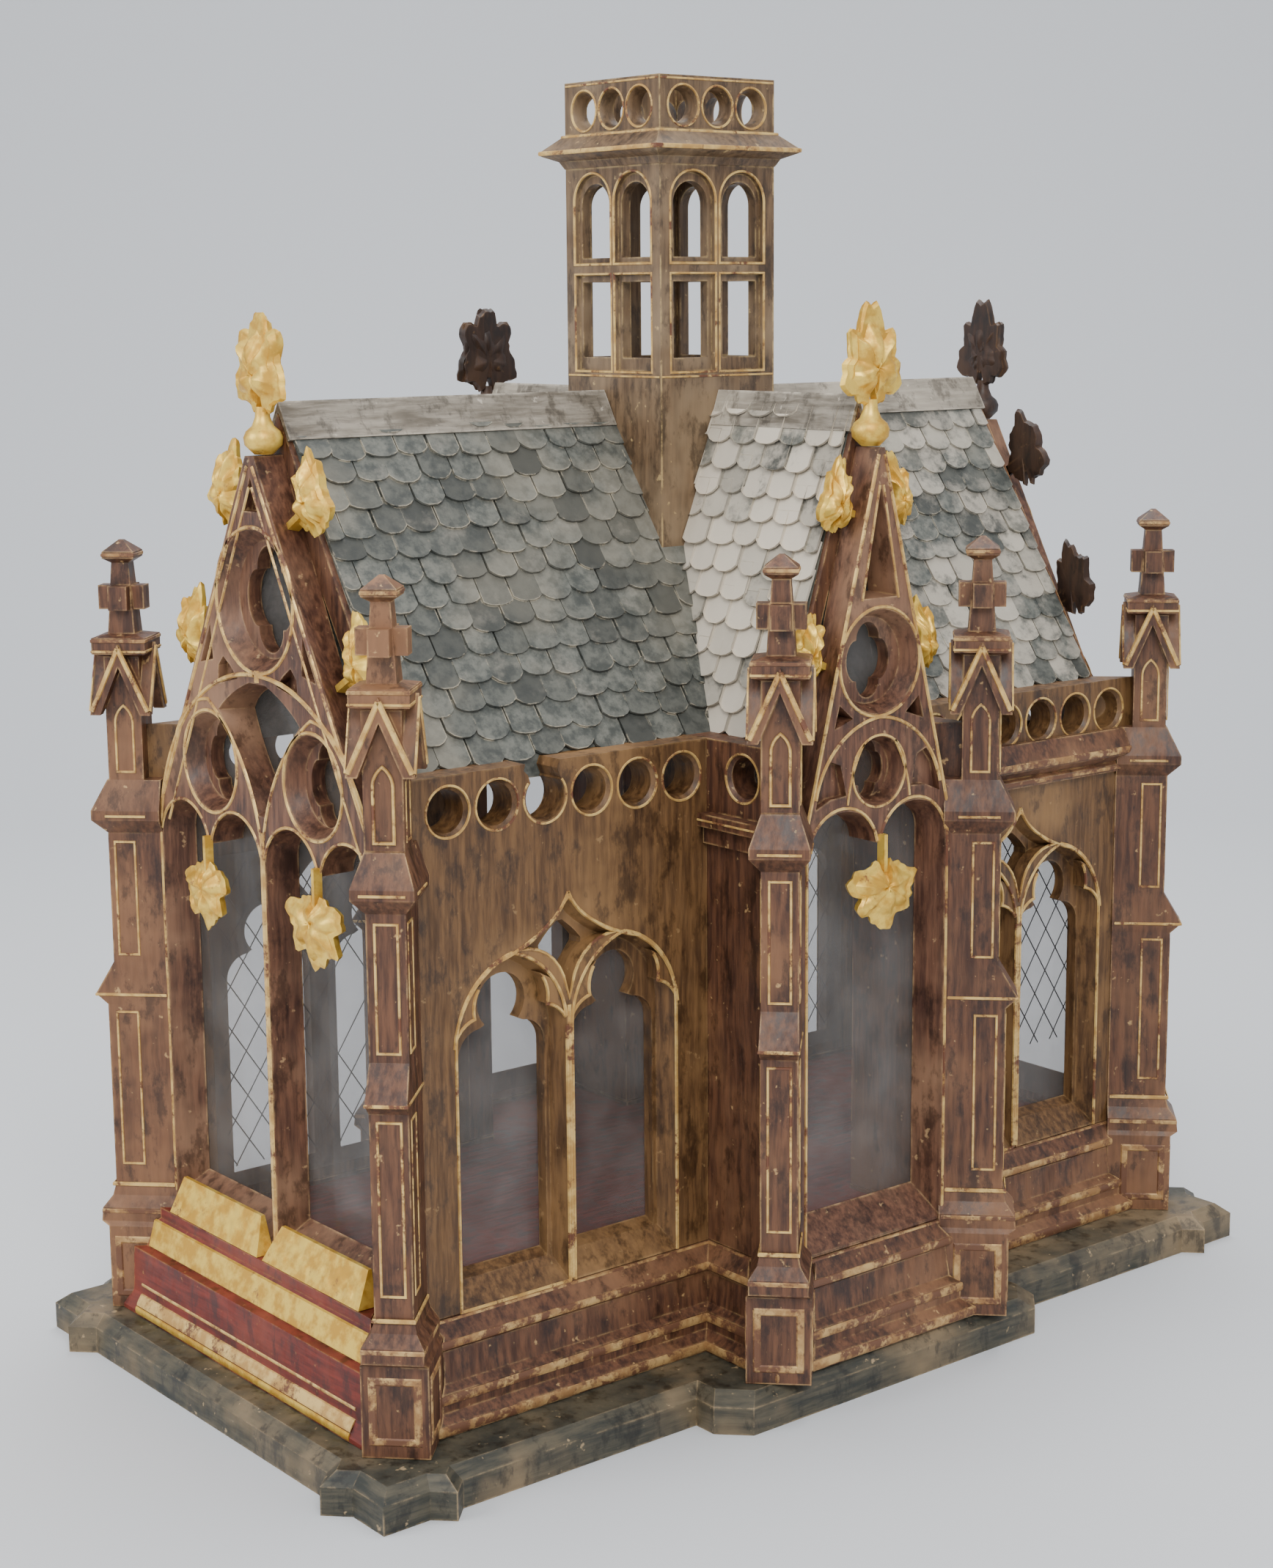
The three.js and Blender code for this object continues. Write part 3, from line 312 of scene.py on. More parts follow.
def rectangle(u0, z0, u1, z1):
    return [(u0, z0), (u1, z0), (u1, z1), (u0, z1)]


def foiled(cx, cz, half_width, half_height, cusp, sides=48):
    """A four-lobed opening with cusps on the diagonals."""
    points = []
    for i in range(sides):
        a = math.tau * i / sides
        reach = 1 - cusp + cusp * abs(math.cos(2 * a)) ** 0.7
        points.append((cx + half_width * reach * math.cos(a), cz + half_height * reach * math.sin(a)))
    return points


def inside(p, outline):
    """Whether a point lies inside a closed outline."""
    odd = False
    for (ax, az), (bx, bz) in zip(outline, outline[1:] + outline[:1]):
        if (az > p[1]) != (bz > p[1]) and p[0] < ax + (p[1] - az) / (bz - az) * (bx - ax):
            odd = not odd
    return odd


def anticlockwise(outline):
    area = sum(a[0] * b[1] - b[0] * a[1] for a, b in zip(outline, outline[1:] + outline[:1]))
    return outline if area > 0 else list(reversed(outline))


def soften(outline):
    """Round a closed outline's corners off a little."""
    rounded = []
    for (ax, az), (bx, bz) in zip(outline, outline[1:] + outline[:1]):
        rounded.append((0.8 * ax + 0.2 * bx, 0.8 * az + 0.2 * bz))
        rounded.append((0.2 * ax + 0.8 * bx, 0.2 * az + 0.8 * bz))
    return rounded


# ---------------------------------------------------------------- mesh building


class Shell:
    """Vertices and faces of one piece, in mm. Points are (u, d, z): right, outwards and up on a front."""

    def __init__(self, turn=0.0, centre=(0.0, 0.0)):
        self.verts = []
        self.faces = []
        self.set_front(turn, centre)

    def set_front(self, turn, centre=(0.0, 0.0)):
        angle = math.radians(turn)
        self.cos, self.sin = math.cos(angle), math.sin(angle)
        self.centre = centre

    def point(self, u, d, z):
        x = u * self.cos + d * self.sin + self.centre[0]
        y = u * self.sin - d * self.cos + self.centre[1]
        self.verts.append((x * MM, y * MM, z * MM))
        return len(self.verts) - 1

    def ring(self, outline, d):
        return [self.point(u, d, z) for u, z in outline]

    def bridge(self, a, b, closed=True):
        count = len(a)
        for i in range(count if closed else count - 1):
            j = (i + 1) % count
            self.faces.append((a[i], a[j], b[j], b[i]))

    def fill(self, d, loops, outward=True):
        """A flat face at depth d inside the first loop and outside the others."""
        coords, edges = [], []
        for loop in loops:
            start = len(coords)
            coords.extend(Vector(p) for p in loop)
            edges.extend((start + i, start + (i + 1) % len(loop)) for i in range(len(loop)))
        found, _, faces, _, _, _ = delaunay_2d_cdt(coords, edges, [], 0, 1e-5)
        index = {}
        for face in faces:
            middle = sum((found[i] for i in face), Vector((0, 0))) / len(face)
            if not inside(middle, loops[0]) or any(inside(middle, loop) for loop in loops[1:]):
                continue
            for i in face:
                if i not in index:
                    index[i] = self.point(found[i].x, d, found[i].y)
            around = [index[i] for i in face]
            self.faces.append(tuple(around if outward else reversed(around)))

    def board(self, front_outline, back_outline, openings, front, back):
        """A board with openings; each opening is a list of (depth below the face, outline)."""
        self.fill(front, [front_outline] + [rings[0][1] for rings in openings])
        through_holes = [rings[-1][1] for rings in openings if rings[-1][0] >= front - back]
        self.fill(back, [back_outline] + through_holes, False)
        self.bridge(self.ring(back_outline, back), self.ring(front_outline, front))
        for rings in openings:
            for (d0, a), (d1, b) in zip(rings, rings[1:]):
                if len(a) == len(b) and d0 != d1:
                    self.bridge(self.ring(a, front - d0), self.ring(b, front - d1))
                elif d0 == d1:
                    self.fill(front - d0, [a, b])
            if rings[-1][0] < front - back:
                self.fill(front - rings[-1][0], [rings[-1][1]])

    def bead(self, path, face, width=2.4, rise=0.7, closed=True, sink=0.3):
        """A low rounded line that runs along a path on a front."""
        count = len(path)
        rows = []
        for i, (u, z) in enumerate(path):
            before = path[i - 1] if closed or i else path[0]
            after = path[(i + 1) % count] if closed or i < count - 1 else path[-1]
            t0 = Vector((u - before[0], z - before[1]))
            t1 = Vector((after[0] - u, after[1] - z))
            t0 = t0.normalized() if t0.length > 1e-6 else t1.normalized()
            t1 = t1.normalized() if t1.length > 1e-6 else t0
            normal = Vector((t0.y + t1.y, -t0.x - t1.x))
            if normal.length < 0.2:
                normal = Vector((t1.y, -t1.x))
            normal.normalize()
            reach = min(1.5, 1 / max(0.5, normal.dot(Vector((t1.y, -t1.x)))))
            across = []
            for side, height in ((-1, -sink), (-0.55, rise), (0.55, rise), (1, -sink)):
                offset = side * width / 2
                du, dz = normal.x * offset * reach, normal.y * offset * reach
                across.append(self.point(u + du, face + height, z + dz))
            rows.append(across)
        for i in range(count if closed else count - 1):
            a, b = rows[i], rows[(i + 1) % count]
            for k in range(3):
                self.faces.append((a[k], a[k + 1], b[k + 1], b[k]))
        if not closed:
            self.faces.append(tuple(reversed(rows[0])))
            self.faces.append(tuple(rows[-1]))

    def line(self, path, face, width=2.4, rise=0.7, sink=0.3):
        """A bead with two ends."""
        self.bead(path, face, width, rise, False, sink)

    def box(self, u0, d0, z0, u1, d1, z1):
        low, high = self.ring(rectangle(u0, z0, u1, z1), d0), self.ring(rectangle(u0, z0, u1, z1), d1)
        self.bridge(low, high)
        self.faces.append(tuple(high))
        self.faces.append(tuple(reversed(low)))

    def rail(self, path, profile, closed=False):
        """A moulding swept along a path in plan; its profile is (outwards to the path's right, height)."""
        count = len(path)
        rows = []
        for i, (x, y) in enumerate(path):
            before = path[i - 1] if closed or i else None
            after = path[(i + 1) % count] if closed or i < count - 1 else None
            t0 = Vector((x - before[0], y - before[1])).normalized() if before else None
            t1 = Vector((after[0] - x, after[1] - y)).normalized() if after else t0
            t0 = t0 or t1
            normal = Vector((t0.y + t1.y, -t0.x - t1.x)).normalized()
            reach = 1 / max(0.3, normal.dot(Vector((t1.y, -t1.x))))
            row = []
            for out, z in profile:
                row.append(self.point(x + normal.x * out * reach, -(y + normal.y * out * reach), z))
            rows.append(row)
        for i in range(count if closed else count - 1):
            a, b = rows[i], rows[(i + 1) % count]
            for k in range(len(profile) - 1):
                self.faces.append((a[k], b[k], b[k + 1], a[k + 1]))
        if not closed:
            self.faces.append(tuple(rows[0]))
            self.faces.append(tuple(reversed(rows[-1])))

    def collar(self, half, front, back, z0, z1, grow=0.6):
        """A low band round a square post."""
        corners = [(-half, -front), (half, -front), (half, back), (-half, back)]
        middle, rise = (z0 + z1) / 2, (z1 - z0) * 0.28
        self.rail(corners, [(-0.4, z0), (grow, middle - rise), (grow, middle + rise), (-0.4, z1)], True)

    def slab(self, corners, thickness):
        """A thin tile: its top corners in world mm, and its thickness down along its own normal."""
        a, b, c = (Vector(corner) for corner in (corners[0], corners[1], corners[2]))
        down = (b - a).cross(c - b).normalized() * -thickness
        top = [self.free(corner) for corner in corners]
        low = [self.free(Vector(corner) + down) for corner in corners]
        self.faces.append(tuple(top))
        self.bridge(low, top)

    def free(self, corner):
        self.verts.append((corner[0] * MM, corner[1] * MM, corner[2] * MM))
        return len(self.verts) - 1

    def piece(self, name, material, slot, replaced=(), smooth=30.0, attributes=None):
        mesh = bpy.data.meshes.new(name)
        mesh.from_pydata(self.verts, [], self.faces)
        mesh.materials.append(material)
        for key, values in (attributes or {}).items():
            layer = mesh.attributes.new(key, "FLOAT", "POINT")
            layer.data.foreach_set("value", values)
        body = bmesh.new()
        body.from_mesh(mesh)
        bmesh.ops.remove_doubles(body, verts=body.verts, dist=1e-6)
        bmesh.ops.dissolve_degenerate(body, edges=body.edges, dist=1e-7)
        body.to_mesh(mesh)
        body.free()
        made = bpy.data.objects.new(name, mesh)
        bpy.context.scene.collection.objects.link(made)
        if smooth:
            mesh.shade_smooth()
            mesh.set_sharp_from_angle(angle=math.radians(smooth))
        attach(made, "root")
        if replaced:
            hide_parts(*replaced)
        return made


# ---------------------------------------------------------------- bay walls

STAGE = 12


def circle_openings(centre, count):
    made = []
    for i in range(count):
        u = centre + (i - (count - 1) / 2) * CIRCLE_PITCH
        made.append([(0, circle(u, CIRCLE_Z, CIRCLE_RADIUS)), (3, circle(u, CIRCLE_Z, 12.6)),
                     (BOARD, circle(u, CIRCLE_Z, 11.6))])
    return made


def bay_light(centre, side, draw):
    outer, inner = 81.5 - 8 * draw, 1.9 + 6 * draw
    middle, half = (outer + inner) / 2, (outer - inner) / 2
    foot = FOOT + 18 * draw
    head = pointed_head(middle, 246, half, 50 - 6 * draw, 12)
    outline = [(middle - half, foot), (middle + half, foot)] + head
    return shift(outline if side > 0 else mirror(outline), centre)


def trefoil(centre, side, foot):
    half, lobe, spring = 31, 16, 235
    head = (arc(half - lobe, spring, lobe, lobe, 0, 88, 8) + arc(0, 265, 17, 17, -46, 226, 24)
            + arc(lobe - half, spring, lobe, lobe, 92, 180, 8))
    return shift([(-half, foot), (half, foot)] + head, centre + side * 41)


def ogee(centre):
    right = through((4, 276), (12, 288), (35.5, 296.5), 6)[:-1]
    right += through((35.5, 296.5), (26, 301), (18, 306.5), 5)
    right += through((18, 306.5), (8.5, 314), (0, 324), 6)[1:-1]
    return shift([(0, 262)] + right + [(0, 323)] + mirror(right), centre)


def ogee_back(centre):
    right = [(9, 283), (17, 293), (10, 301)]
    return soften(shift([(0, 272)] + right + [(0, 309)] + mirror(right), centre))


def bay_openings(centre):
    made = []
    for side in (-1, 1):
        made.append([
            (0, bay_light(centre, side, 0)),
            (STAGE, bay_light(centre, side, 0.8)),
            (STAGE, trefoil(centre, side, SILL + 15)),
            (BOARD, trefoil(centre, side, SILL + 19)),
        ])
    outline, back = ogee(centre), ogee_back(centre)
    made.append([(0, outline), (9, [(centre + (u - centre) * 0.82, 290 + (z - 290) * 0.8) for u, z in outline]),
                 (9, back), (BOARD, back)])
    return made


def bay_gilding(shell, centre, face):
    for side in (-1, 1):
        light = bay_light(centre, side, 0)
        shell.line(light[1:] + light[:1], face, 2.3)
        for sign in (-1, 1):
            middle = centre + side * 41.7
            hook = through((middle + sign * 23, 278), (middle + sign * 26.5, 268), (middle + sign * 26, 261), 5)
            end = (middle + sign * 39.3, 251)
            hook += through((middle + sign * 26, 261), (middle + sign * 33, 258), end, 5)[1:]
            shell.line(hook, face - 0.6, 2.2)
    crown = ogee(centre)
    shell.bead(crown, face, 2.0)
    hood = through((82.5, 246), (75, 270), (51, 292), 8) + through((51, 292), (36, 297), (18.5, 306), 6)[1:]
    hood += through((18.5, 306), (8, 314), (0, 326), 6)[1:]
    for path in (hood, mirror(hood)):
        shell.line(shift(path, centre), face, 2.3, 0.9)
    shell.line([(centre, SILL + 2), (centre, 258)], face, 3.2)


def cusp_plate(shell, centre, face):
    """Small pointed cusps that stand in the heads of the lights, just behind the face."""
    for side in (-1, 1):
        middle = centre + side * 41.7
        for sign in (-1, 1):
            tip = (middle + sign * 26, 261)
            upper = through((middle + sign * 21, 280.5), (middle + sign * 26, 270), tip, 6)
            lower = through(tip, (middle + sign * 33, 258), (middle + sign * 40.5, 249), 6)[1:]
            outer = [(middle + sign * 37, 264), (middle + sign * 29, 276)]
            outline = anticlockwise(upper + lower + outer)
            shell.fill(face - 0.8, [outline])
            shell.bridge(shell.ring(outline, face - 11), shell.ring(outline, face - 0.8))


def bay_wall(where, turn, side):
    """A bay wall; side tells on which side of its own front it lies. One parapet is chipped."""
    name, face, chipped = "bay_" + where, NAVE_WIDTH, where == "front_left"
    window, circles = (RIGHT_WINDOW, RIGHT_CIRCLES) if side > 0 else (LEFT_WINDOW, LEFT_CIRCLES)
    inner, outer = side * (TRANSEPT_WIDTH + 0.6), side * (NAVE_LENGTH - 0.3)
    low, high = min(inner, outer), max(inner, outer)
    cut_low, cut_high = (low + BOARD, high) if side < 0 else (low, high - BOARD)
    top = [(high, TOP), (low, TOP)]
    back_top = [(cut_high, TOP), (cut_low, TOP)]
    holes = circle_openings(circles, 6)
    broken = circles - 0.5 * CIRCLE_PITCH
    if chipped:
        u = broken
        bite = [(u + 11, 404.8), (u + 9, 400), (u + 11.5, 394)]
        bite += arc(u, CIRCLE_Z, 14, 14, 40, -222, 28) + [(u - 12, 398), (u - 15, 401), (u - 14, 404.8)]
        top[1:1] = bite
        back_top[1:1] = bite
        del holes[2]
    front = [(low, FOOT), (high, FOOT)] + top
    back = [(cut_low, FOOT), (cut_high, FOOT)] + back_top
    shell = Shell(turn)
    shell.board(front, back, holes + bay_openings(window), face, face - BOARD)
    cusp_plate(shell, window, face)
    shell.piece(name, OCHRE, "ochre_wood", ["wall_" + where])
    gilt = Shell(turn)
    for rings in circle_openings(circles, 6):
        outline = rings[0][1]
        if chipped and abs(outline[0][0] - (broken + CIRCLE_RADIUS)) < 1:
            gilt.line(arc(broken, CIRCLE_Z, 15.4, 15.4, 38, -218, 30), face, 1.7, 0.5)
        else:
            gilt.bead(outline, face, 1.7, 0.5)
    bay_gilding(gilt, window, face)
    gilt.piece(name + "_gilding", GOLD_LINE, "gilt_wood")


for where, turn, side in (
        ("front_left", 0, -1), ("front_right", 0, 1), ("back_left", 180, 1), ("back_right", 180, -1)):
    bay_wall(where, turn, side)

# ---------------------------------------------------------------- gable fronts


def twin_light(inner, outer, foot, draw):
    rib = 1.6 + 4 * draw
    left, right = inner + 5 * draw, outer - 7 * draw
    middle = (inner + outer) / 2
    spring, rise = 340 + 1.5 * draw, 22.5 - 5 * draw
    outer_half, inner_half = (right - middle - rib) / 2, (middle - rib - left) / 2
    return ([(left, foot), (right, foot)]
            + arc(middle + rib + outer_half, spring, outer_half, rise, 0, 180, 16)
            + arc(left + inner_half, spring, inner_half, rise, 0, 180, 16))


def rose(cx, cz, radius, half_width, half_height):
    sides = 48
    foil = foiled(cx, cz, half_width, half_height, 0.24)
    return [(0, circle(cx, cz, radius, sides)), (11, circle(cx, cz, radius * 0.84, sides)),
            (11, foil), (BOARD, foil)]


def splayed(outline):
    """An opening whose outline(t) narrows from the face, t = 0, to the back, t = 1."""
    return [(0, outline(0)), (BOARD, outline(1))]


def nave_openings():
    lights = [splayed(lambda t: twin_light(2.6, 121.5, 100 + 14 * t, t)),
              splayed(lambda t: mirror(twin_light(2.6, 121.5, 100 + 14 * t, t)))]

    def spandrel(t):
        right = through((5, 366 + 8 * t), (26, 402), (46 - 9 * t, 425), 10)
        right += through((46 - 9 * t, 425.5), (30, 436 - 3 * t), (9, 445 - 5 * t), 6)[1:]
        return right + mirror(right)

    def corner(t):
        return [(50 + 4 * t, 455 + 3 * t), (65 - 4 * t, 452 + 4 * t), (52, 477 - 8 * t)]
    field = [(22, 446), (45, 441), (44, 452), (38, 458), (30, 453)]
    top = [(-9, 546), (9, 546), (0, 566)]
    sunk = [[(0, shape), (6, shape)] for shape in (field, mirror(field), top)]
    roses = [rose(58, 391.5, 30, 18.5, 25), rose(-58, 391.5, 30, 18.5, 25), rose(0, 494, 41.5, 25, 31.5)]
    corners = [splayed(corner), splayed(lambda t: mirror(corner(t)))]
    return lights + [splayed(spandrel)] + corners + roses + sunk


def transept_openings():
    light = splayed(lambda t: twin_light(-57.5, 57.5, 89 + 19 * t, t))

    def top(t):
        return [(-14 + 5 * t, 489 + 2 * t), (14 - 5 * t, 489 + 2 * t), (0, 556 - 15 * t)]

    def corner(t):
        return [(22 + 2 * t, 418 + 2 * t), (37 - 3 * t, 413 + 3 * t), (33 - 2 * t, 427 - 3 * t)]
    side = [(27, 372), (40, 371), (52, 366), (48, 384), (40, 394), (32, 391)]
    field = [[(0, shape), (5, shape)] for shape in (side, mirror(side))]
    roses = [rose(0, 450.5, 31.5, 17.5, 23), rose(0, 384, 21, 13, 18)]
    return [light, splayed(top), splayed(corner), splayed(lambda t: mirror(corner(t)))] + roses + field


def gable_outline(half, rake_half, foot):
    tip = rake_half * (RAKE - RAKE_CUT) / (RAKE - CAP)
    return [(-half, foot), (half, foot), (half, CAP), (rake_half, CAP), (tip, RAKE_CUT), (-tip, RAKE_CUT),
            (-rake_half, CAP), (-half, CAP)]


def nave_gilding(shell, face):
    shell.bead(circle(0, 494, 43), face, 2.6, 0.9)
    for side in (1, -1):
        fold = (lambda path: path) if side > 0 else mirror
        big = through((122.5, 342), (101, 399), (3, 450), 28)
        light = through((100, 400), (84, 421), (58, 430), 8) + through((58, 430), (28, 405), (1.5, 352), 14)[1:]
        shell.line(fold(big), face, 3.0, 1.1)
        shell.line(fold(light), face - 0.1, 2.4, 0.9)
        shell.bead(circle(side * 58, 391.5, 31.5), face, 2.4, 0.8)
        shell.line(fold(through((122, 341), (92, 363.5), (63, 341), 16)), face, 2.2)
        shell.line(fold(through((61, 341), (33, 363.5), (2, 341), 16)), face, 2.2)
        shell.line([(side * 123, 96), (side * 123, 342)], face, 2.2)
        shell.line([(side * 3, RAKE_CUT - 6), (side * 127.5, CAP + 1)], face, 2.6, 0.9)
        shell.line([(side * 1.5, 560), (side * 112, CAP + 3)], face, 1.8, 0.6)
    shell.line([(0, 96), (0, 356)], face, 4.4, 1.2)
    shell.line([(0, 446), (0, 453)], face, 5.0, 1.0)


def transept_gilding(shell, face):
    shell.bead(circle(0, 450.5, 33), face, 2.2, 0.8)
    for side in (1, -1):
        fold = (lambda path: path) if side > 0 else mirror
        shell.line(fold(through((52, 372), (36, 401), (0, 417), 16)), face, 2.4, 0.9)
        shell.line(fold(through((26, 366), (22, 384), (13, 402), 8)), face, 1.8, 0.6)
        shell.line(fold(through((58, 341), (29, 364.5), (1, 341), 16)), face, 2.2)
        shell.line([(side * 59, SILL + 4), (side * 59, 342)], face, 2.2)
        shell.line([(side * 2.5, RAKE_CUT - 4), (side * 61, CAP + 3)], face, 2.4, 0.9)
        shell.line([(side * 15, 488), (side * 1.5, 556)], face, 1.8, 0.6)
    shell.bead(circle(0, 384, 22), face, 1.8, 0.6)


def gable(word):
    shell, gilt = Shell(TURNS[word]), Shell(TURNS[word])
    if word in NAVE_ENDS:
        face, half, rake, openings = NAVE_LENGTH, NAVE_WIDTH, NAVE_RAKE, nave_openings()
        nave_gilding(gilt, face)
    else:
        face, half, rake, openings = TRANSEPT_LENGTH, TRANSEPT_WIDTH, TRANSEPT_RAKE, transept_openings()
        transept_gilding(gilt, face)
    back = gable_outline(half - BOARD, min(rake, half - BOARD), FOOT)
    shell.board(gable_outline(half - 0.2, rake, FOOT), back, openings, face, face - BOARD)
    shell.piece("tracery_" + word, SPLAY, "red_brown_wood", ["gable_" + word])
    gilt.piece(f"tracery_{word}_gilding", GOLD_LINE, "gilt_wood")


for word in GABLES:
    gable(word)

# ---------------------------------------------------------------- transept side walls


def return_wall(where, turn, side):
    """The short wall beside a transept front; side tells which end holds the front."""
    name = "return_" + where
    face, eye = TRANSEPT_WIDTH, side * 170
    near, far = side * (NAVE_WIDTH - BOARD + 1), side * (TRANSEPT_LENGTH - 0.3)
    low, high = min(near, far), max(near, far)
    cut_low, cut_high = (low, high - BOARD) if side > 0 else (low + BOARD, high)
    shell = Shell(turn)
    front, back = rectangle(low, FOOT, high, TOP), rectangle(cut_low, FOOT, cut_high, TOP)
    shell.board(front, back, circle_openings(eye, 1), face, face - BOARD)
    start, end = (NAVE_WIDTH + 0.5, high) if side > 0 else (low, -NAVE_WIDTH - 0.5)
    shell.box(start, face - 1, 341, end, face + 4, 352)
    shell.box(start, face - 1, 352, end, face + 8.5, 360)
    shell.piece(name, RED, "red_brown_wood", ["transept_wall_" + where])
    gilt = Shell(turn)
    gilt.bead(circle(eye, CIRCLE_Z, CIRCLE_RADIUS), face, 1.7, 0.5)
    gilt.line([(start, 356), (end, 356)], face + 8.5, 1.6, 0.5)
    gilt.piece(name + "_gilding", GOLD_LINE, "gilt_wood")


for where, turn, side in (
        ("front_left", -90, 1), ("front_right", 90, -1), ("back_left", -90, -1), ("back_right", 90, 1)):
    return_wall(where, turn, side)

# ---------------------------------------------------------------- gilding of plinths and cornices

FRONT_PLAN = [(-NAVE_LENGTH, -NAVE_WIDTH), (-TRANSEPT_WIDTH, -NAVE_WIDTH), (-TRANSEPT_WIDTH, -TRANSEPT_LENGTH),
              (TRANSEPT_WIDTH, -TRANSEPT_LENGTH), (TRANSEPT_WIDTH, -NAVE_WIDTH), (NAVE_LENGTH, -NAVE_WIDTH)]


def roll(out, z0, z1, rise=1.0):
    """Profile of a half-round band that stands on a face."""
    steps = 6
    return [(out - 0.3, z0)] + [
        (out + rise * math.sin(math.pi * i / steps), z0 + (z1 - z0) * (1 - math.cos(math.pi * i / steps)) / 2)
        for i in range(1, steps)
    ] + [(out - 0.3, z1)]


def plinth_gilding():
    for turn, name in ((0, "front"), (180, "back")):
        shell = Shell()
        plan = FRONT_PLAN if turn == 0 else [(-x, -y) for x, y in FRONT_PLAN]
        for out, z0, z1 in ((19, 24.8, 31), (13, 40.5, 46.5), (8, 71.8, 77)):
            shell.rail(plan, roll(out, z0, z1))
        shell.rail(plan, roll(1.4, 84.4, 86.8, 0.7))
        shell.piece("plinth_bands_" + name, GOLD_TAN, "gilt_wood")


def end_gilding():
    for side, name in ((-1, "left"), (1, "right")):
        plan = [(side * NAVE_LENGTH, -side * 126), (side * NAVE_LENGTH, side * 126)]
        bright, lines = Shell(), Shell()
        bright.rail(plan, [(19.2, 67.2), (20.0, 68), (15.4, 84), (13.9, 84.6)])
        bright.rail(plan, roll(31, 24.8, 29.5, 0.8))
        lines.rail(plan, [(30.6, 30), (30.4, 31.5), (27.4, 36.5), (26, 37)])
        lines.rail(plan, roll(25.9, 41.6, 44, 0.7))
        bright.piece("end_strip_" + name, GOLD if side < 0 else GOLD_TAN, "gilt_wood")
        lines.piece("end_lines_" + name, GOLD_LINE, "gilt_wood")


def cornice_gilding(name, side, turn):
    shell = Shell()
    sign = 1 if turn == 0 else -1
    a, b = (TRANSEPT_WIDTH + 12, NAVE_LENGTH - 1) if side > 0 else (-NAVE_LENGTH + 1, -TRANSEPT_WIDTH - 12)
    plan = [(sign * a, -sign * NAVE_WIDTH), (sign * b, -sign * NAVE_WIDTH)]
    shell.rail(plan, roll(10.3, 354, 359, 0.8))
    shell.rail(plan, roll(5.2, 342.5, 345.5, 0.7))
    shell.rail(plan, roll(5.0, 366.5, 368.6, 0.6))
    shell.piece(name, GOLD_TAN, "gilt_wood")


plinth_gilding()
end_gilding()
cornice_gilding("cornice_lines_front_right", 1, 0)
cornice_gilding("cornice_lines_back_left", 1, 180)
cornice_gilding("cornice_lines_back_right", -1, 180)

# ---------------------------------------------------------------- gilding of buttresses


def framed(shell, u, z0, z1, half, face, width=1.9, rise=0.5, arched=False):
    outline = rectangle(u - half, z0, u + half, z1)
    if arched:
        outline = [(u - half, z0), (u + half, z0)] + pointed_head(u, z1 - 11, half, 11, 6)
    shell.bead(outline, face, width, rise)


def gablet_edges(shell):
    for sign in (1, -1):
        shell.line([(sign * 17.6, 415.5), (0, 454.5)], 19, 3.4, 0.8)


def buttress_gilding(name, x, y):
    """Gilt frames, gablet edges and bands of the buttress at x, y, which faces outwards at 45 degrees."""
    sx, sy = (1 if x > 0 else -1), (1 if y > 0 else -1)
    turn = math.degrees(math.atan2(sy, sx)) + 90
    lines, bands = Shell(), Shell()
    for side in (0, -90, 90):
        for shell in (lines, bands):
            shell.set_front(turn + side, (x, y))
        across = {0: 0, -90: 1, 90: -1}[side]
        low, high = (18.5, 13.5) if side == 0 else (11.3, 11.3)
        framed(lines, across * 6, 119, 220, 6.8, low)
        framed(lines, across * 3, 258, 331, 6.4, high)
        framed(lines, 0, 376, 418, 5.6, 12.4 if side == 0 else 11.3, arched=True)
        block = rectangle(-13 + across * 3, 34, 13 + across * 3, 70)
        bands.bead(block, 22 if side == 0 else 19.7, 5.5, 0.7)
        gablet_edges(lines)
        lines.line([(-13, 348.6), (13, 348.6)], 22 if side == 0 else 18, 2.0, 0.6)
    lines.set_front(turn + 180, (x, y))
    gablet_edges(lines)
    for shell in (lines, bands):
        shell.set_front(turn, (x, y))
    bands.collar(17.9, 26.1, 20, 86.8, 90.6, 0.4)
    lines.collar(12.1, 20.2, 20, 103.6, 106.4, 0.5)
    lines.collar(12.2, 26.0, 20, 230.4, 232.6, 0.3)
    lines.collar(17, 17, 17, 451.6, 453.6, 0.5)
    bands.collar(17, 17, 17, 457.8, 460.6, 0.5)
    bands.collar(10, 10, 10, 510.6, 513.4, 0.5)
    lines.piece("lines_" + name, GOLD_LINE, "gilt_wood")
    bands.piece("bands_" + name, GOLD_TAN, "gilt_wood")


for back in (-1, 1):
    for hand in (-1, 1):
        where = ("front" if back < 0 else "back") + ("_left" if hand < 0 else "_right")
        buttress_gilding("buttress_" + where, hand * NAVE_BUTTRESS[0], back * NAVE_BUTTRESS[1])
        buttress_gilding("buttress_transept_" + where, hand * TRANSEPT_BUTTRESS[0], back * TRANSEPT_BUTTRESS[1])

# ---------------------------------------------------------------- lantern tower

TOWER_Y, TOWER_HALF, TOWER_WALL = -9, 47, 10
TOWER_FOOT, TOWER_TOP = 471, 800
LIGHTS_U, ROUNDS_U, ROUND_Z = (-20, 20), (-27.5, 0, 27.5), 782
TOWER_CORNICE = [(-2, 746), (0.5, 747), (3, 751.5), (11, 755), (11.8, 756), (11.8, 757.6), (0.5, 767.6),
                 (-2, 768)]


def tower_light(u, z0, spring, half):
    return [(u - half, z0), (u + half, z0)] + arc(u, spring, half, half, 0, 180, 20)


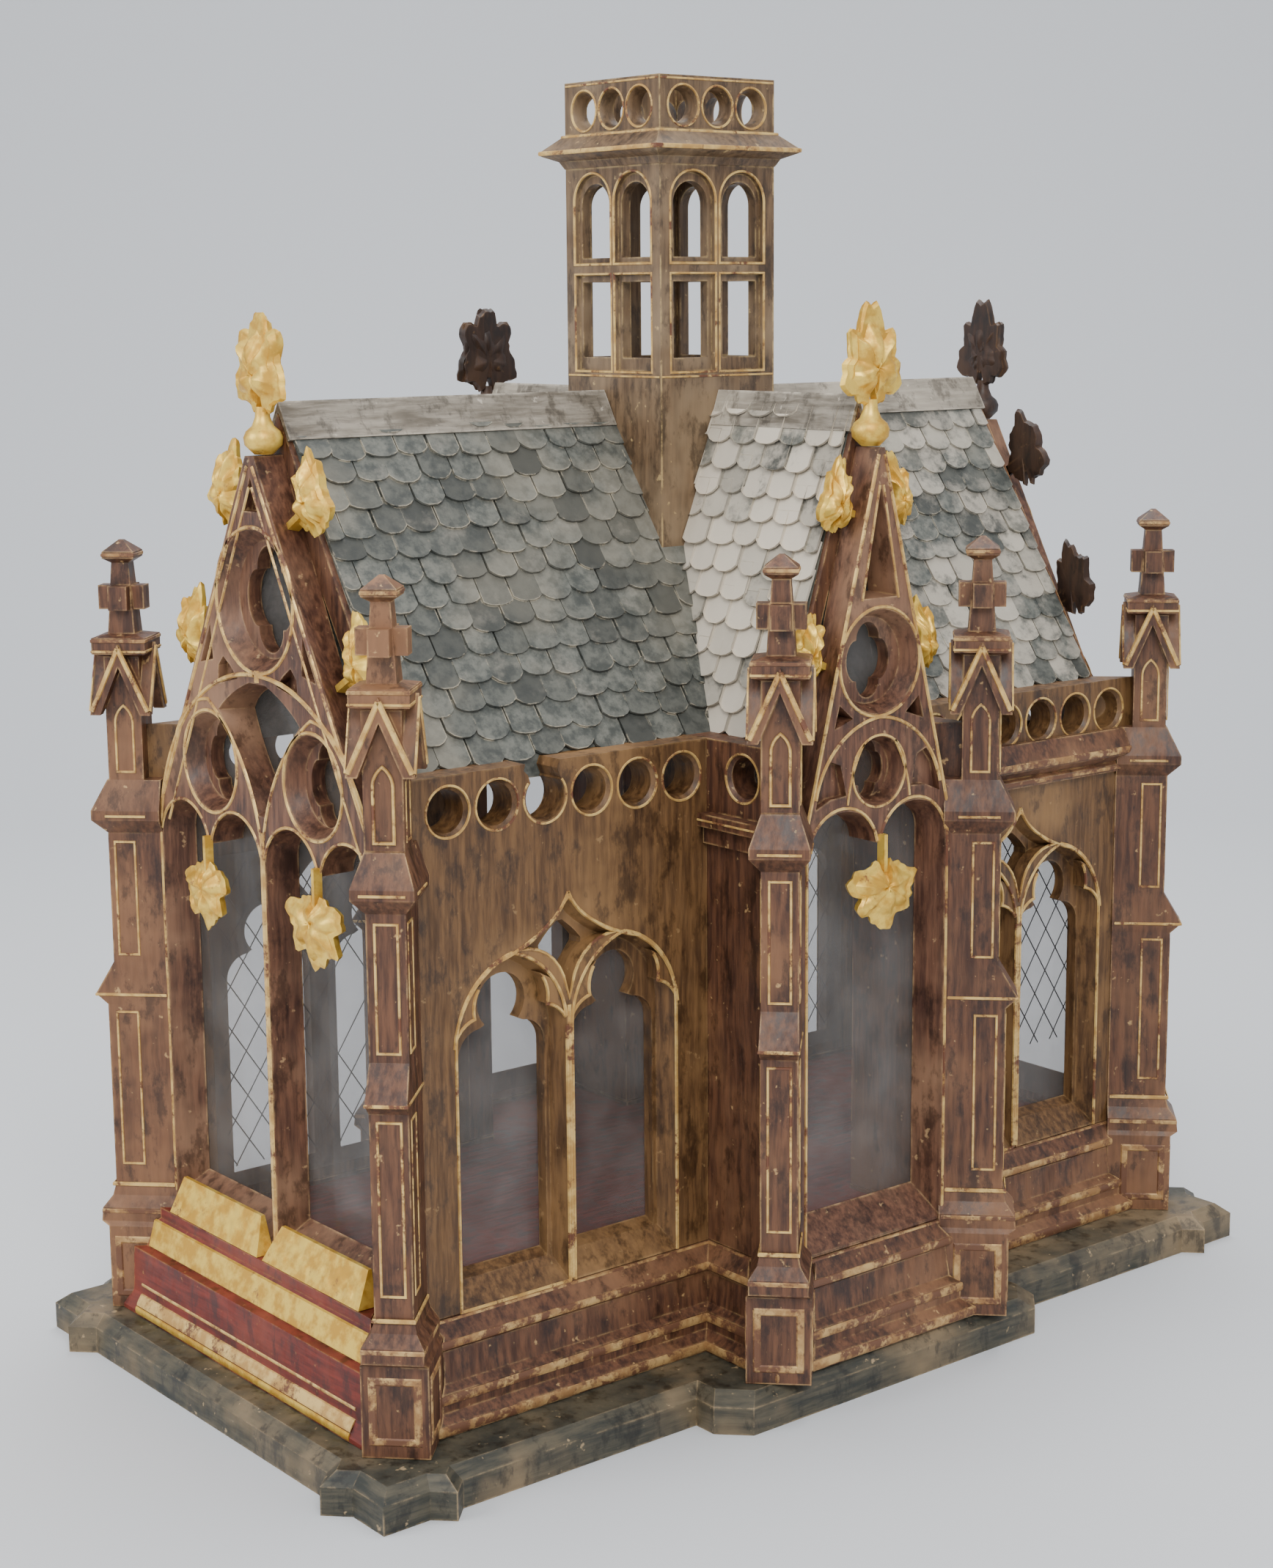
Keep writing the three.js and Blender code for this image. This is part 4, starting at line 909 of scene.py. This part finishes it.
def tower():
    openings = []
    for u in LIGHTS_U:
        head, hole = tower_light(u, 687, 725, 18), tower_light(u, 691, 723, 14)
        openings.append([(0, head), (3, tower_light(u, 687.6, 725, 17.2)), (3, hole), (TOWER_WALL, hole)])
        panel, hole = rectangle(u - 18, 620, u + 18, 681), rectangle(u - 14, 629, u + 14, 676)
        step = rectangle(u - 17.2, 621, u + 17.2, 680.2)
        openings.append([(0, panel), (3, step), (3, hole), (TOWER_WALL, hole)])
    for u in ROUNDS_U:
        openings.append([(0, circle(u, ROUND_Z, 12)), (2.5, circle(u, ROUND_Z, 10.4)),
                         (TOWER_WALL, circle(u, ROUND_Z, 9.8))])
    wood_shell, gilt = Shell(), Shell()
    outer, inner = TOWER_HALF, TOWER_HALF - TOWER_WALL
    for turn in (0, 90, 180, 270):
        for shell in (wood_shell, gilt):
            shell.set_front(turn, (0, TOWER_Y))
        front = rectangle(-outer, TOWER_FOOT, outer, TOWER_TOP)
        back = rectangle(-inner, TOWER_FOOT, inner, TOWER_TOP)
        wood_shell.board(front, back, openings, outer, inner)
        for u in LIGHTS_U:
            gilt.bead(tower_light(u, 687, 725, 18.6), outer, 1.8, 0.5)
            gilt.bead(rectangle(u - 18.6, 620, u + 18.6, 681), outer, 1.6, 0.4)
        for u in ROUNDS_U:
            gilt.bead(circle(u, ROUND_Z, 12.6), outer, 1.6, 0.5)
        gilt.line([(-46, 617.5), (46, 617.5)], outer, 1.6, 0.4)
        gilt.line([(-46, 798), (46, 798)], outer, 1.6, 0.4)
    for shell in (wood_shell, gilt):
        shell.set_front(0)
    square = rectangle(-outer, TOWER_Y - outer, outer, TOWER_Y + outer)
    wood_shell.rail(square, TOWER_CORNICE, True)
    gilt.rail(square, roll(12.0, 755.4, 758.2, 0.5), True)
    gilt.rail(square, roll(1.5, 765.5, 767.8, 0.6), True)
    inside_half = inner + 1
    for z0, z1 in ((592.5, 600), (749.5, 757)):
        wood_shell.box(-inside_half, -TOWER_Y - inside_half, z0, inside_half, -TOWER_Y + inside_half, z1)
    wood_shell.piece("tower_carved", TOWER_WOOD, "red_brown_wood", ["lantern_tower"])
    gilt.piece("tower_gilding", GOLD_LINE, "gilt_wood")


tower()

# ---------------------------------------------------------------- shingles

NAVE_ROOF, TRANSEPT_ROOF = NAVE_WIDTH - BOARD - 0.35, TRANSEPT_WIDTH - BOARD - 0.35
NAVE_SLOPE, TRANSEPT_SLOPE = (RIDGE - PARAPET) / NAVE_ROOF, (RIDGE - PARAPET) / TRANSEPT_ROOF
TILE_WIDTH, TILE_STEP, TILE_LENGTH = 22.5, 16.6, 25


def shingles(name, along, run, half, slope, visible, pale_coat_and_highlight, seed):
    """Rows of round-ended tiles; along(s, out, z, lift) gives a world point on this slope."""
    draw = random.Random(seed)
    shell = Shell()
    tones, pale_coat_and_highlight_values = [], []
    length = math.hypot(half, half * slope)
    rows = int(length / TILE_STEP)
    for row in range(rows + 1):
        foot = row * TILE_STEP - 3
        offset = TILE_WIDTH / 2 if row % 2 else 0
        count = int((run[1] - run[0]) / TILE_WIDTH) + 2
        for i in range(count):
            start = run[0] - offset + i * TILE_WIDTH
            left = max(run[0], start + draw.uniform(-1.5, 1.5))
            right = min(run[1], start + TILE_WIDTH - 0.6)
            low = foot + draw.uniform(-2.2, 1.6)
            skew, lift = draw.uniform(-0.04, 0.04), draw.uniform(1.9, 3.1)
            clip, tone, worn = draw.uniform(0.2, 0.46), draw.random(), draw.random()
            if right - left < 5 or not visible((left + right) / 2, (low + 12) / length * half):
                continue
            wide, middle = (right - left) / 2, (left + right) / 2
            outline = []
            for t in (-1.0, -0.92, -0.66, -0.3, 0.3, 0.66, 0.92, 1.0):
                drop = wide * clip * (abs(t) ** 2.6) * 1.25
                outline.append((middle + wide * t, low + drop + skew * wide * t))
            top = min(low + TILE_LENGTH, length - 1)
            if top - low < 8:
                continue
            corners = []
            for x, q in outline + [(right, top), (left, top)]:
                rise = lift * (1 - (q - low) / (top - low)) + 0.9
                out = half * (1 - q / length)
                corners.append(along(x, out, RIDGE - slope * out, rise))
            before = len(shell.verts)
            shell.slab(corners, 1.5)
            added = len(shell.verts) - before
            tones += [max(0.0, tone * 1.4 - 0.6)] * added
            # Per-tile pale amount: a pale weathered coat, which also paints the highlight on the paler slopes.
            pale_coat_and_highlight_values += [min(1.0, pale_coat_and_highlight * (0.55 + 0.9 * worn))] * added
    shell.piece(name, SLATE, "roof_shingles", smooth=0, attributes={"tone": tones, "pale_coat_and_highlight": pale_coat_and_highlight_values})


def slope_point(axis, sign, slope):
    norm = math.hypot(1, slope)

    def at(s, out, z, lift):
        across = sign * (out + lift * slope / norm)
        up = z + lift / norm
        return (s, across, up) if axis == "x" else (across, s, up)
    return at


def roofs():
    valley = TRANSEPT_ROOF / NAVE_ROOF
    nave_end, transept_end = 285, 180

    def nave_seen(s, up):
        return abs(s) > (NAVE_ROOF - up) * valley - 14 and abs(s) > 36

    def transept_seen(s, up):
        return abs(s) > (TRANSEPT_ROOF - up) / valley - 14
    for sign, word in ((-1, "front"), (1, "back")):
        at = slope_point("x", sign, NAVE_SLOPE)
        shingles(f"shingles_{word}_left", at, (-nave_end, -4), NAVE_ROOF, NAVE_SLOPE, nave_seen, 0.12, 11)
        shingles(f"shingles_{word}_right", at, (4, nave_end), NAVE_ROOF, NAVE_SLOPE, nave_seen, 0.42, 12)
    for sign, word in ((-1, "left"), (1, "right")):
        at = slope_point("y", sign, TRANSEPT_SLOPE)
        # The left-facing slope gets the larger pale amount as a painted highlight.
        worn = 0.85 if sign < 0 else 0.5
        shingles(f"shingles_transept_front_{word}", at, (-transept_end, -4), TRANSEPT_ROOF, TRANSEPT_SLOPE,
                 transept_seen, worn, 13)
        shingles(f"shingles_transept_back_{word}", at, (4, transept_end), TRANSEPT_ROOF, TRANSEPT_SLOPE,
                 transept_seen, 0.4, 14)


roofs()


def verge_boards():
    """The boards that close the roof's ends behind the gables."""
    for word in GABLES:
        is_nave = word in NAVE_ENDS
        slope, front = (NAVE_SLOPE, NAVE_LENGTH) if is_nave else (TRANSEPT_SLOPE, TRANSEPT_LENGTH)
        shell = Shell(TURNS[word])
        foot, inner = PARAPET - 10, 26
        reach = (RIDGE - foot) / slope
        side = reach - inner / slope * 1.15
        outline = anticlockwise([(0, RIDGE - 0.5), (-reach, foot), (-side, foot), (0, RIDGE - inner * 1.2),
                                 (side, foot), (reach, foot)])
        shell.board(outline, outline, [], front - BOARD - 0.1, front - BOARD - 5)
        shell.piece("verge_" + word, RED, "red_brown_wood")


verge_boards()

# ---------------------------------------------------------------- carved leaves

# Lobes of a leaf: degrees from the tip, reach, spread in radians.
LEAF_SMOOTH = 38.0
LOBES = ((0, 1.0, 0.44), (50, 0.9, 0.36), (-50, 0.9, 0.36), (102, 0.94, 0.36), (-102, 0.94, 0.36))


def leaf(shell, u, z, half_width, height, face, thick, turn, seed):
    """A carved leaf whose tip points along turn (degrees from up); u, z is its middle."""
    draw = random.Random(seed)
    around, rings = 72, 9
    heading = math.radians(turn)
    jitter = [draw.uniform(0.88, 1.1) for _ in LOBES]
    phase = [draw.uniform(0, math.tau) for _ in range(4)]

    def lobe(angle):
        reach, ridge = 0.6, 0.0
        for (middle, size, spread), wobble in zip(LOBES, jitter):
            away = (math.degrees(angle) - middle + 180) % 360 - 180
            part = math.exp(-(math.radians(away) / spread) ** 2)
            reach = max(reach, 0.6 + (size * wobble - 0.6) * part ** 0.8)
            ridge = max(ridge, math.exp(-(math.radians(away) / 0.1) ** 2) * size)
        reach *= 1 + 0.05 * math.sin(11 * angle + phase[0]) + 0.035 * math.sin(19 * angle + phase[1])
        if abs(abs(math.degrees(angle)) - 180) < 14:
            reach *= 0.55
        return reach, ridge
    front, back = [], []
    for k in range(rings + 1):
        share = k / rings
        ring_front, ring_back = [], []
        for i in range(around):
            angle = math.tau * i / around - math.pi
            reach, ridge = lobe(angle)
            rho = share * reach
            x, y = rho * math.sin(angle) * half_width, rho * math.cos(angle) * height * 0.56
            px = x * math.cos(heading) + y * math.sin(heading)
            pz = -x * math.sin(heading) + y * math.cos(heading)
            swell = math.sin(math.pi * min(1.0, share * 1.15 + 0.12)) ** 0.7
            lump = 0.22 * math.sin(7 * rho + 3 * angle + phase[2])
            lump += 0.15 * math.sin(13 * rho - 5 * angle + phase[3])
            crown, furrow = 0.55 * swell * (0.75 + 0.5 * reach), 0.5 * (1 - ridge) * 0.45 * share
            relief = thick * (0.28 + crown - furrow + lump * 0.5)
            curl = thick * 0.5 * share ** 3 * math.cos(2.5 * angle)
            depth = face + max(relief - curl, 0.12 * thick)
            if k == rings:
                depth = face + 0.1 * thick - curl * 0.3
            ring_front.append(shell.point(u + px, depth, z + pz))
            if k == rings:
                ring_back.append(shell.point(u + px * 0.94, face - 0.35 * thick, z + pz * 0.94))
        front.append(ring_front)
        back = ring_back or back
    for a, b in zip(front, front[1:]):
        shell.bridge(a, b)
    shell.bridge(front[-1], back)
    centre = shell.point(u, face - 0.5 * thick, z)
    for i in range(around):
        shell.faces.append((back[i], back[(i + 1) % around], centre))


def leaf_piece(name, node, turn, material, slot, settings, stem):
    """A leaf with its stem, which runs between two points."""
    shell = Shell(turn)
    leaf(shell, *settings)
    (u0, z0), (u1, z1), face, width = stem
    path = [(u0, z0), ((u0 + u1) / 2, (z0 + z1) / 2), (u1, z1)]
    shell.line(path, face, width, width * 0.5, sink=width * 0.5)
    shell.piece(name, material, slot, [node] if node else (), LEAF_SMOOTH)


def crockets(word, turn, is_nave, material, slot, hidden):
    face, rake_half = (NAVE_LENGTH, NAVE_RAKE) if is_nave else (TRANSEPT_LENGTH, TRANSEPT_RAKE)
    off, half_width, height = (24, 19, 60) if is_nave else (14, 13, 54)
    slope = rake_half / (RAKE - CAP)
    lean = math.atan(slope)
    number = 0
    for level in CROCKET_LEVELS:
        for side in (-1, 1):
            number += 1
            u0, z0 = side * (RAKE - level) * slope, level
            u = u0 + side * off * math.cos(lean)
            z = z0 + off * math.sin(lean)
            node = None if hidden else f"crocket_{word}_{number}"
            seed = 40 + number + (7 if is_nave else 0)
            settings = (u, z + 2, half_width, height, face - 13, 9, side * -12, seed)
            stem = ((u0 - side * 2, z0 - 2), (u, z), face - 13, 7)
            leaf_piece(f"leaf_{word}_{number}", node, turn, material, slot, settings, stem)


def finial_piece(word, turn, is_nave, material, slot):
    face = (NAVE_LENGTH if is_nave else TRANSEPT_LENGTH) - 10
    centre = {0: (0, -face), 90: (face, 0), 180: (0, face), -90: (-face, 0)}[turn]
    shell = Shell()
    rows = []
    for z, radius in KNOB_LEVELS:
        rows.append([shell.point(centre[0] + radius * math.cos(math.tau * i / 20),
                                 -(centre[1] + radius * math.sin(math.tau * i / 20)), z) for i in range(20)])
    for a, b in zip(rows, rows[1:]):
        shell.bridge(a, b)
    shell.faces.append(tuple(reversed(rows[0])))
    shell.faces.append(tuple(rows[-1]))
    shell.set_front(turn)
    leaf(shell, 0, 624, 26, 68, face, 10, 0, 21 + len(word))
    shell.set_front(turn + 180)
    leaf(shell, 0, 624, 26, 68, -face, 6, 0, 21 + len(word))
    shell.piece("leaf_finial_" + word, material, slot, ["finial_" + word], LEAF_SMOOTH)


for word, is_nave in (("left", True), ("front", False), ("right", True), ("back", False)):
    shown = word in ("left", "front")
    look, slot_name = (GOLD, "gilt_wood") if shown else (DARK_WOOD, "dark_wood")
    crockets(word, TURNS[word], is_nave, look, slot_name, not shown)
    finial_piece(word, TURNS[word], is_nave, look, slot_name)
for name, node, turn, u, half_width, face, seed in (
        ("leaf_pendant_left_1", "pendant_leaf_left_1", -90, -62, 26, NAVE_LENGTH, 3),
        ("leaf_pendant_left_2", "pendant_leaf_left_2", -90, 62, 31, NAVE_LENGTH, 5),
        ("leaf_pendant_front", "pendant_leaf_front", 0, 2, 32, TRANSEPT_LENGTH, 9)):
    leaf_piece(name, node, turn, GOLD, "gilt_wood", (u, 313, half_width, 50, face + 3, 7, 180, seed),
               ((u, 345), (u, 322), face + 2, 5))


def sill_relief():
    """Low foliage on the two gilded sills of the left gable."""
    for node, side in (("gilt_sill_1", -1), ("gilt_sill_2", 1)):
        shell = Shell(-90)
        face, foot = NAVE_LENGTH + 0.4, 93.4
        rows = []
        draw = random.Random(4)
        columns, steps = 72, 14
        lows, highs = (3, 110), (12, 107)
        for j in range(steps + 1):
            share = j / steps
            low, high = (a + (b - a) * share for a, b in zip(lows, highs))
            row = []
            for i in range(columns + 1):
                u = low + (high - low) * i / columns
                swirl = math.sin(u * 0.26 + 2.2 * math.sin(share * 5))
                swirl *= math.sin(share * math.pi * 2.2 + u * 0.13)
                edge = min(1.0, min(i, columns - i) / 4, min(j, steps - j) / 2.5)
                out = 12 - 9.5 * share + edge * (0.9 * abs(swirl) ** 0.6 - 0.6)
                out += edge * draw.uniform(-0.12, 0.12)
                row.append(shell.point(side * u, face + out, foot + 22 * share))
            rows.append(row)
        back = [[shell.point(side * (low if i == 0 else high), face, z) for i in (0, 1)]
                for (low, high), z in ((lows, foot), (highs, foot + 22))]
        grid = rows if side > 0 else [list(reversed(row)) for row in rows]
        for a, b in zip(grid, grid[1:]):
            shell.bridge(a, b, closed=False)
        ends = back if side > 0 else [list(reversed(pair)) for pair in back]
        shell.faces.append(tuple(reversed(grid[0])) + tuple(ends[0]))
        shell.faces.append(tuple(grid[-1]) + tuple(reversed(ends[1])))
        shell.faces.append(tuple(row[0] for row in reversed(grid)) + (ends[0][0], ends[1][0]))
        shell.faces.append(tuple(row[-1] for row in grid) + (ends[1][1], ends[0][1]))
        shell.faces.append((ends[0][1], ends[0][0], ends[1][0], ends[1][1]))
        shell.piece("foliage_" + node, GOLD, "gilt_wood", [node], 50.0)


sill_relief()

# ---------------------------------------------------------------- black lattice on the panes


def lattice(name, turn, centre, low, high, seed):
    draw = random.Random(seed)
    shell = Shell(turn)
    face, half, rise, pitch = NAVE_WIDTH - BOARD - 0.3, 76, 1.5, 20
    left, right = centre - half, centre + half
    for sign in (1, -1):
        lines = int((right - left + (high - low) / rise) / pitch) + 1
        for i in range(lines + 1):
            start = left - (high - low) / rise + i * pitch
            ends = []
            for z in (low, high):
                along = start + (z - low) / rise
                ends.append((along if sign > 0 else right + left - start - (z - low) / rise, z))
            (ua, za), (ub, zb) = ends
            points = []
            for bound in (left, right):
                if (ua - bound) * (ub - bound) < 0:
                    t = (bound - ua) / (ub - ua)
                    points.append((bound, za + (zb - za) * t))
            points += [end for end in ends if left <= end[0] <= right]
            if len(points) < 2 or draw.random() < 0.08:
                continue
            shell.line(sorted(points[:2], key=lambda p: p[1]), face, 0.9, 0.35, sink=0.0)
    shell.piece(name, LEAD, "glass")


lattice("lattice_front_right", 0, RIGHT_WINDOW, 150, 312, 2)
lattice("lattice_back_left", 180, RIGHT_WINDOW, 110, 312, 3)
lattice("lattice_back_right", 180, LEFT_WINDOW, 110, 312, 4)

# ---------------------------------------------------------------- looks of the solids that stay

LOOKS = {
    "base_board": BASE_WOOD,
    "floor_board": FLOOR_WOOD,
    "plinth_left_end": END_RED,
    "plinth_right_end": END_RED,
    "plinth": RED,
    "roof_shell": SLATE,
    "glass_": GLASS,
    "ridge_cap": RIDGE_WOOD,
}
for name, node in NODES.items():
    if node.hide_render:
        continue
    look = next((look for start, look in LOOKS.items() if name.startswith(start)), RED)
    for slot in node.material_slots:
        slot.material = look

# ---------------------------------------------------------------- floor, backdrop and light


def stage_floor():
    mesh = bpy.data.meshes.new("stage_floor")
    body = bmesh.new()
    far, near, side, bend, steps = 3.2, 4.5, 7.0, 1.6, 16
    profile = [(-near, 0.0), (far - bend, 0.0)]
    for i in range(1, steps + 1):
        angle = math.pi / 2 * i / steps
        profile.append((far - bend + bend * math.sin(angle), bend - bend * math.cos(angle)))
    profile += [(far, 6.0)]
    rows = [[body.verts.new((x, y, z)) for x in (-side, side)] for y, z in profile]
    for a, b in zip(rows, rows[1:]):
        body.faces.new((a[0], a[1], b[1], b[0]))
    body.to_mesh(mesh)
    body.free()
    mesh.shade_smooth()
    look = Look("stage_paper", Roughness=0.9)
    look.shader.inputs["Base Color"].default_value = tint((206, 208, 210))
    mesh.materials.append(look.material)
    made = bpy.data.objects.new("stage_floor", mesh)
    made.rotation_euler.z = math.radians(-38.9)
    bpy.context.scene.collection.objects.link(made)


def area_light(name, position, target, size, power, colour=(1, 1, 1)):
    data = bpy.data.lights.new(name, "AREA")
    data.size = size
    data.energy = power
    data.color = colour
    made = bpy.data.objects.new(name, data)
    made.location = position
    made.rotation_mode = "QUATERNION"
    made.rotation_quaternion = (Vector(target) - Vector(position)).to_track_quat("-Z", "Y")
    bpy.context.scene.collection.objects.link(made)


stage_floor()
area_light("key_light", (-1.6, -2.2, 2.6), (0, 0, 0.35), 1.6, 80, (1, 0.98, 0.95))
area_light("fill_light", (-2.6, 0.6, 1.6), (0, 0, 0.4), 1.6, 34)
area_light("top_light", (0.6, 0.4, 3.0), (0, 0, 0.4), 2.0, 60)
world = bpy.data.worlds.new("studio")
bpy.context.scene.world = world
world.use_nodes = True
world.node_tree.nodes["Background"].inputs["Color"].default_value = (0.9, 0.93, 1.0, 1)
world.node_tree.nodes["Background"].inputs["Strength"].default_value = 0.92
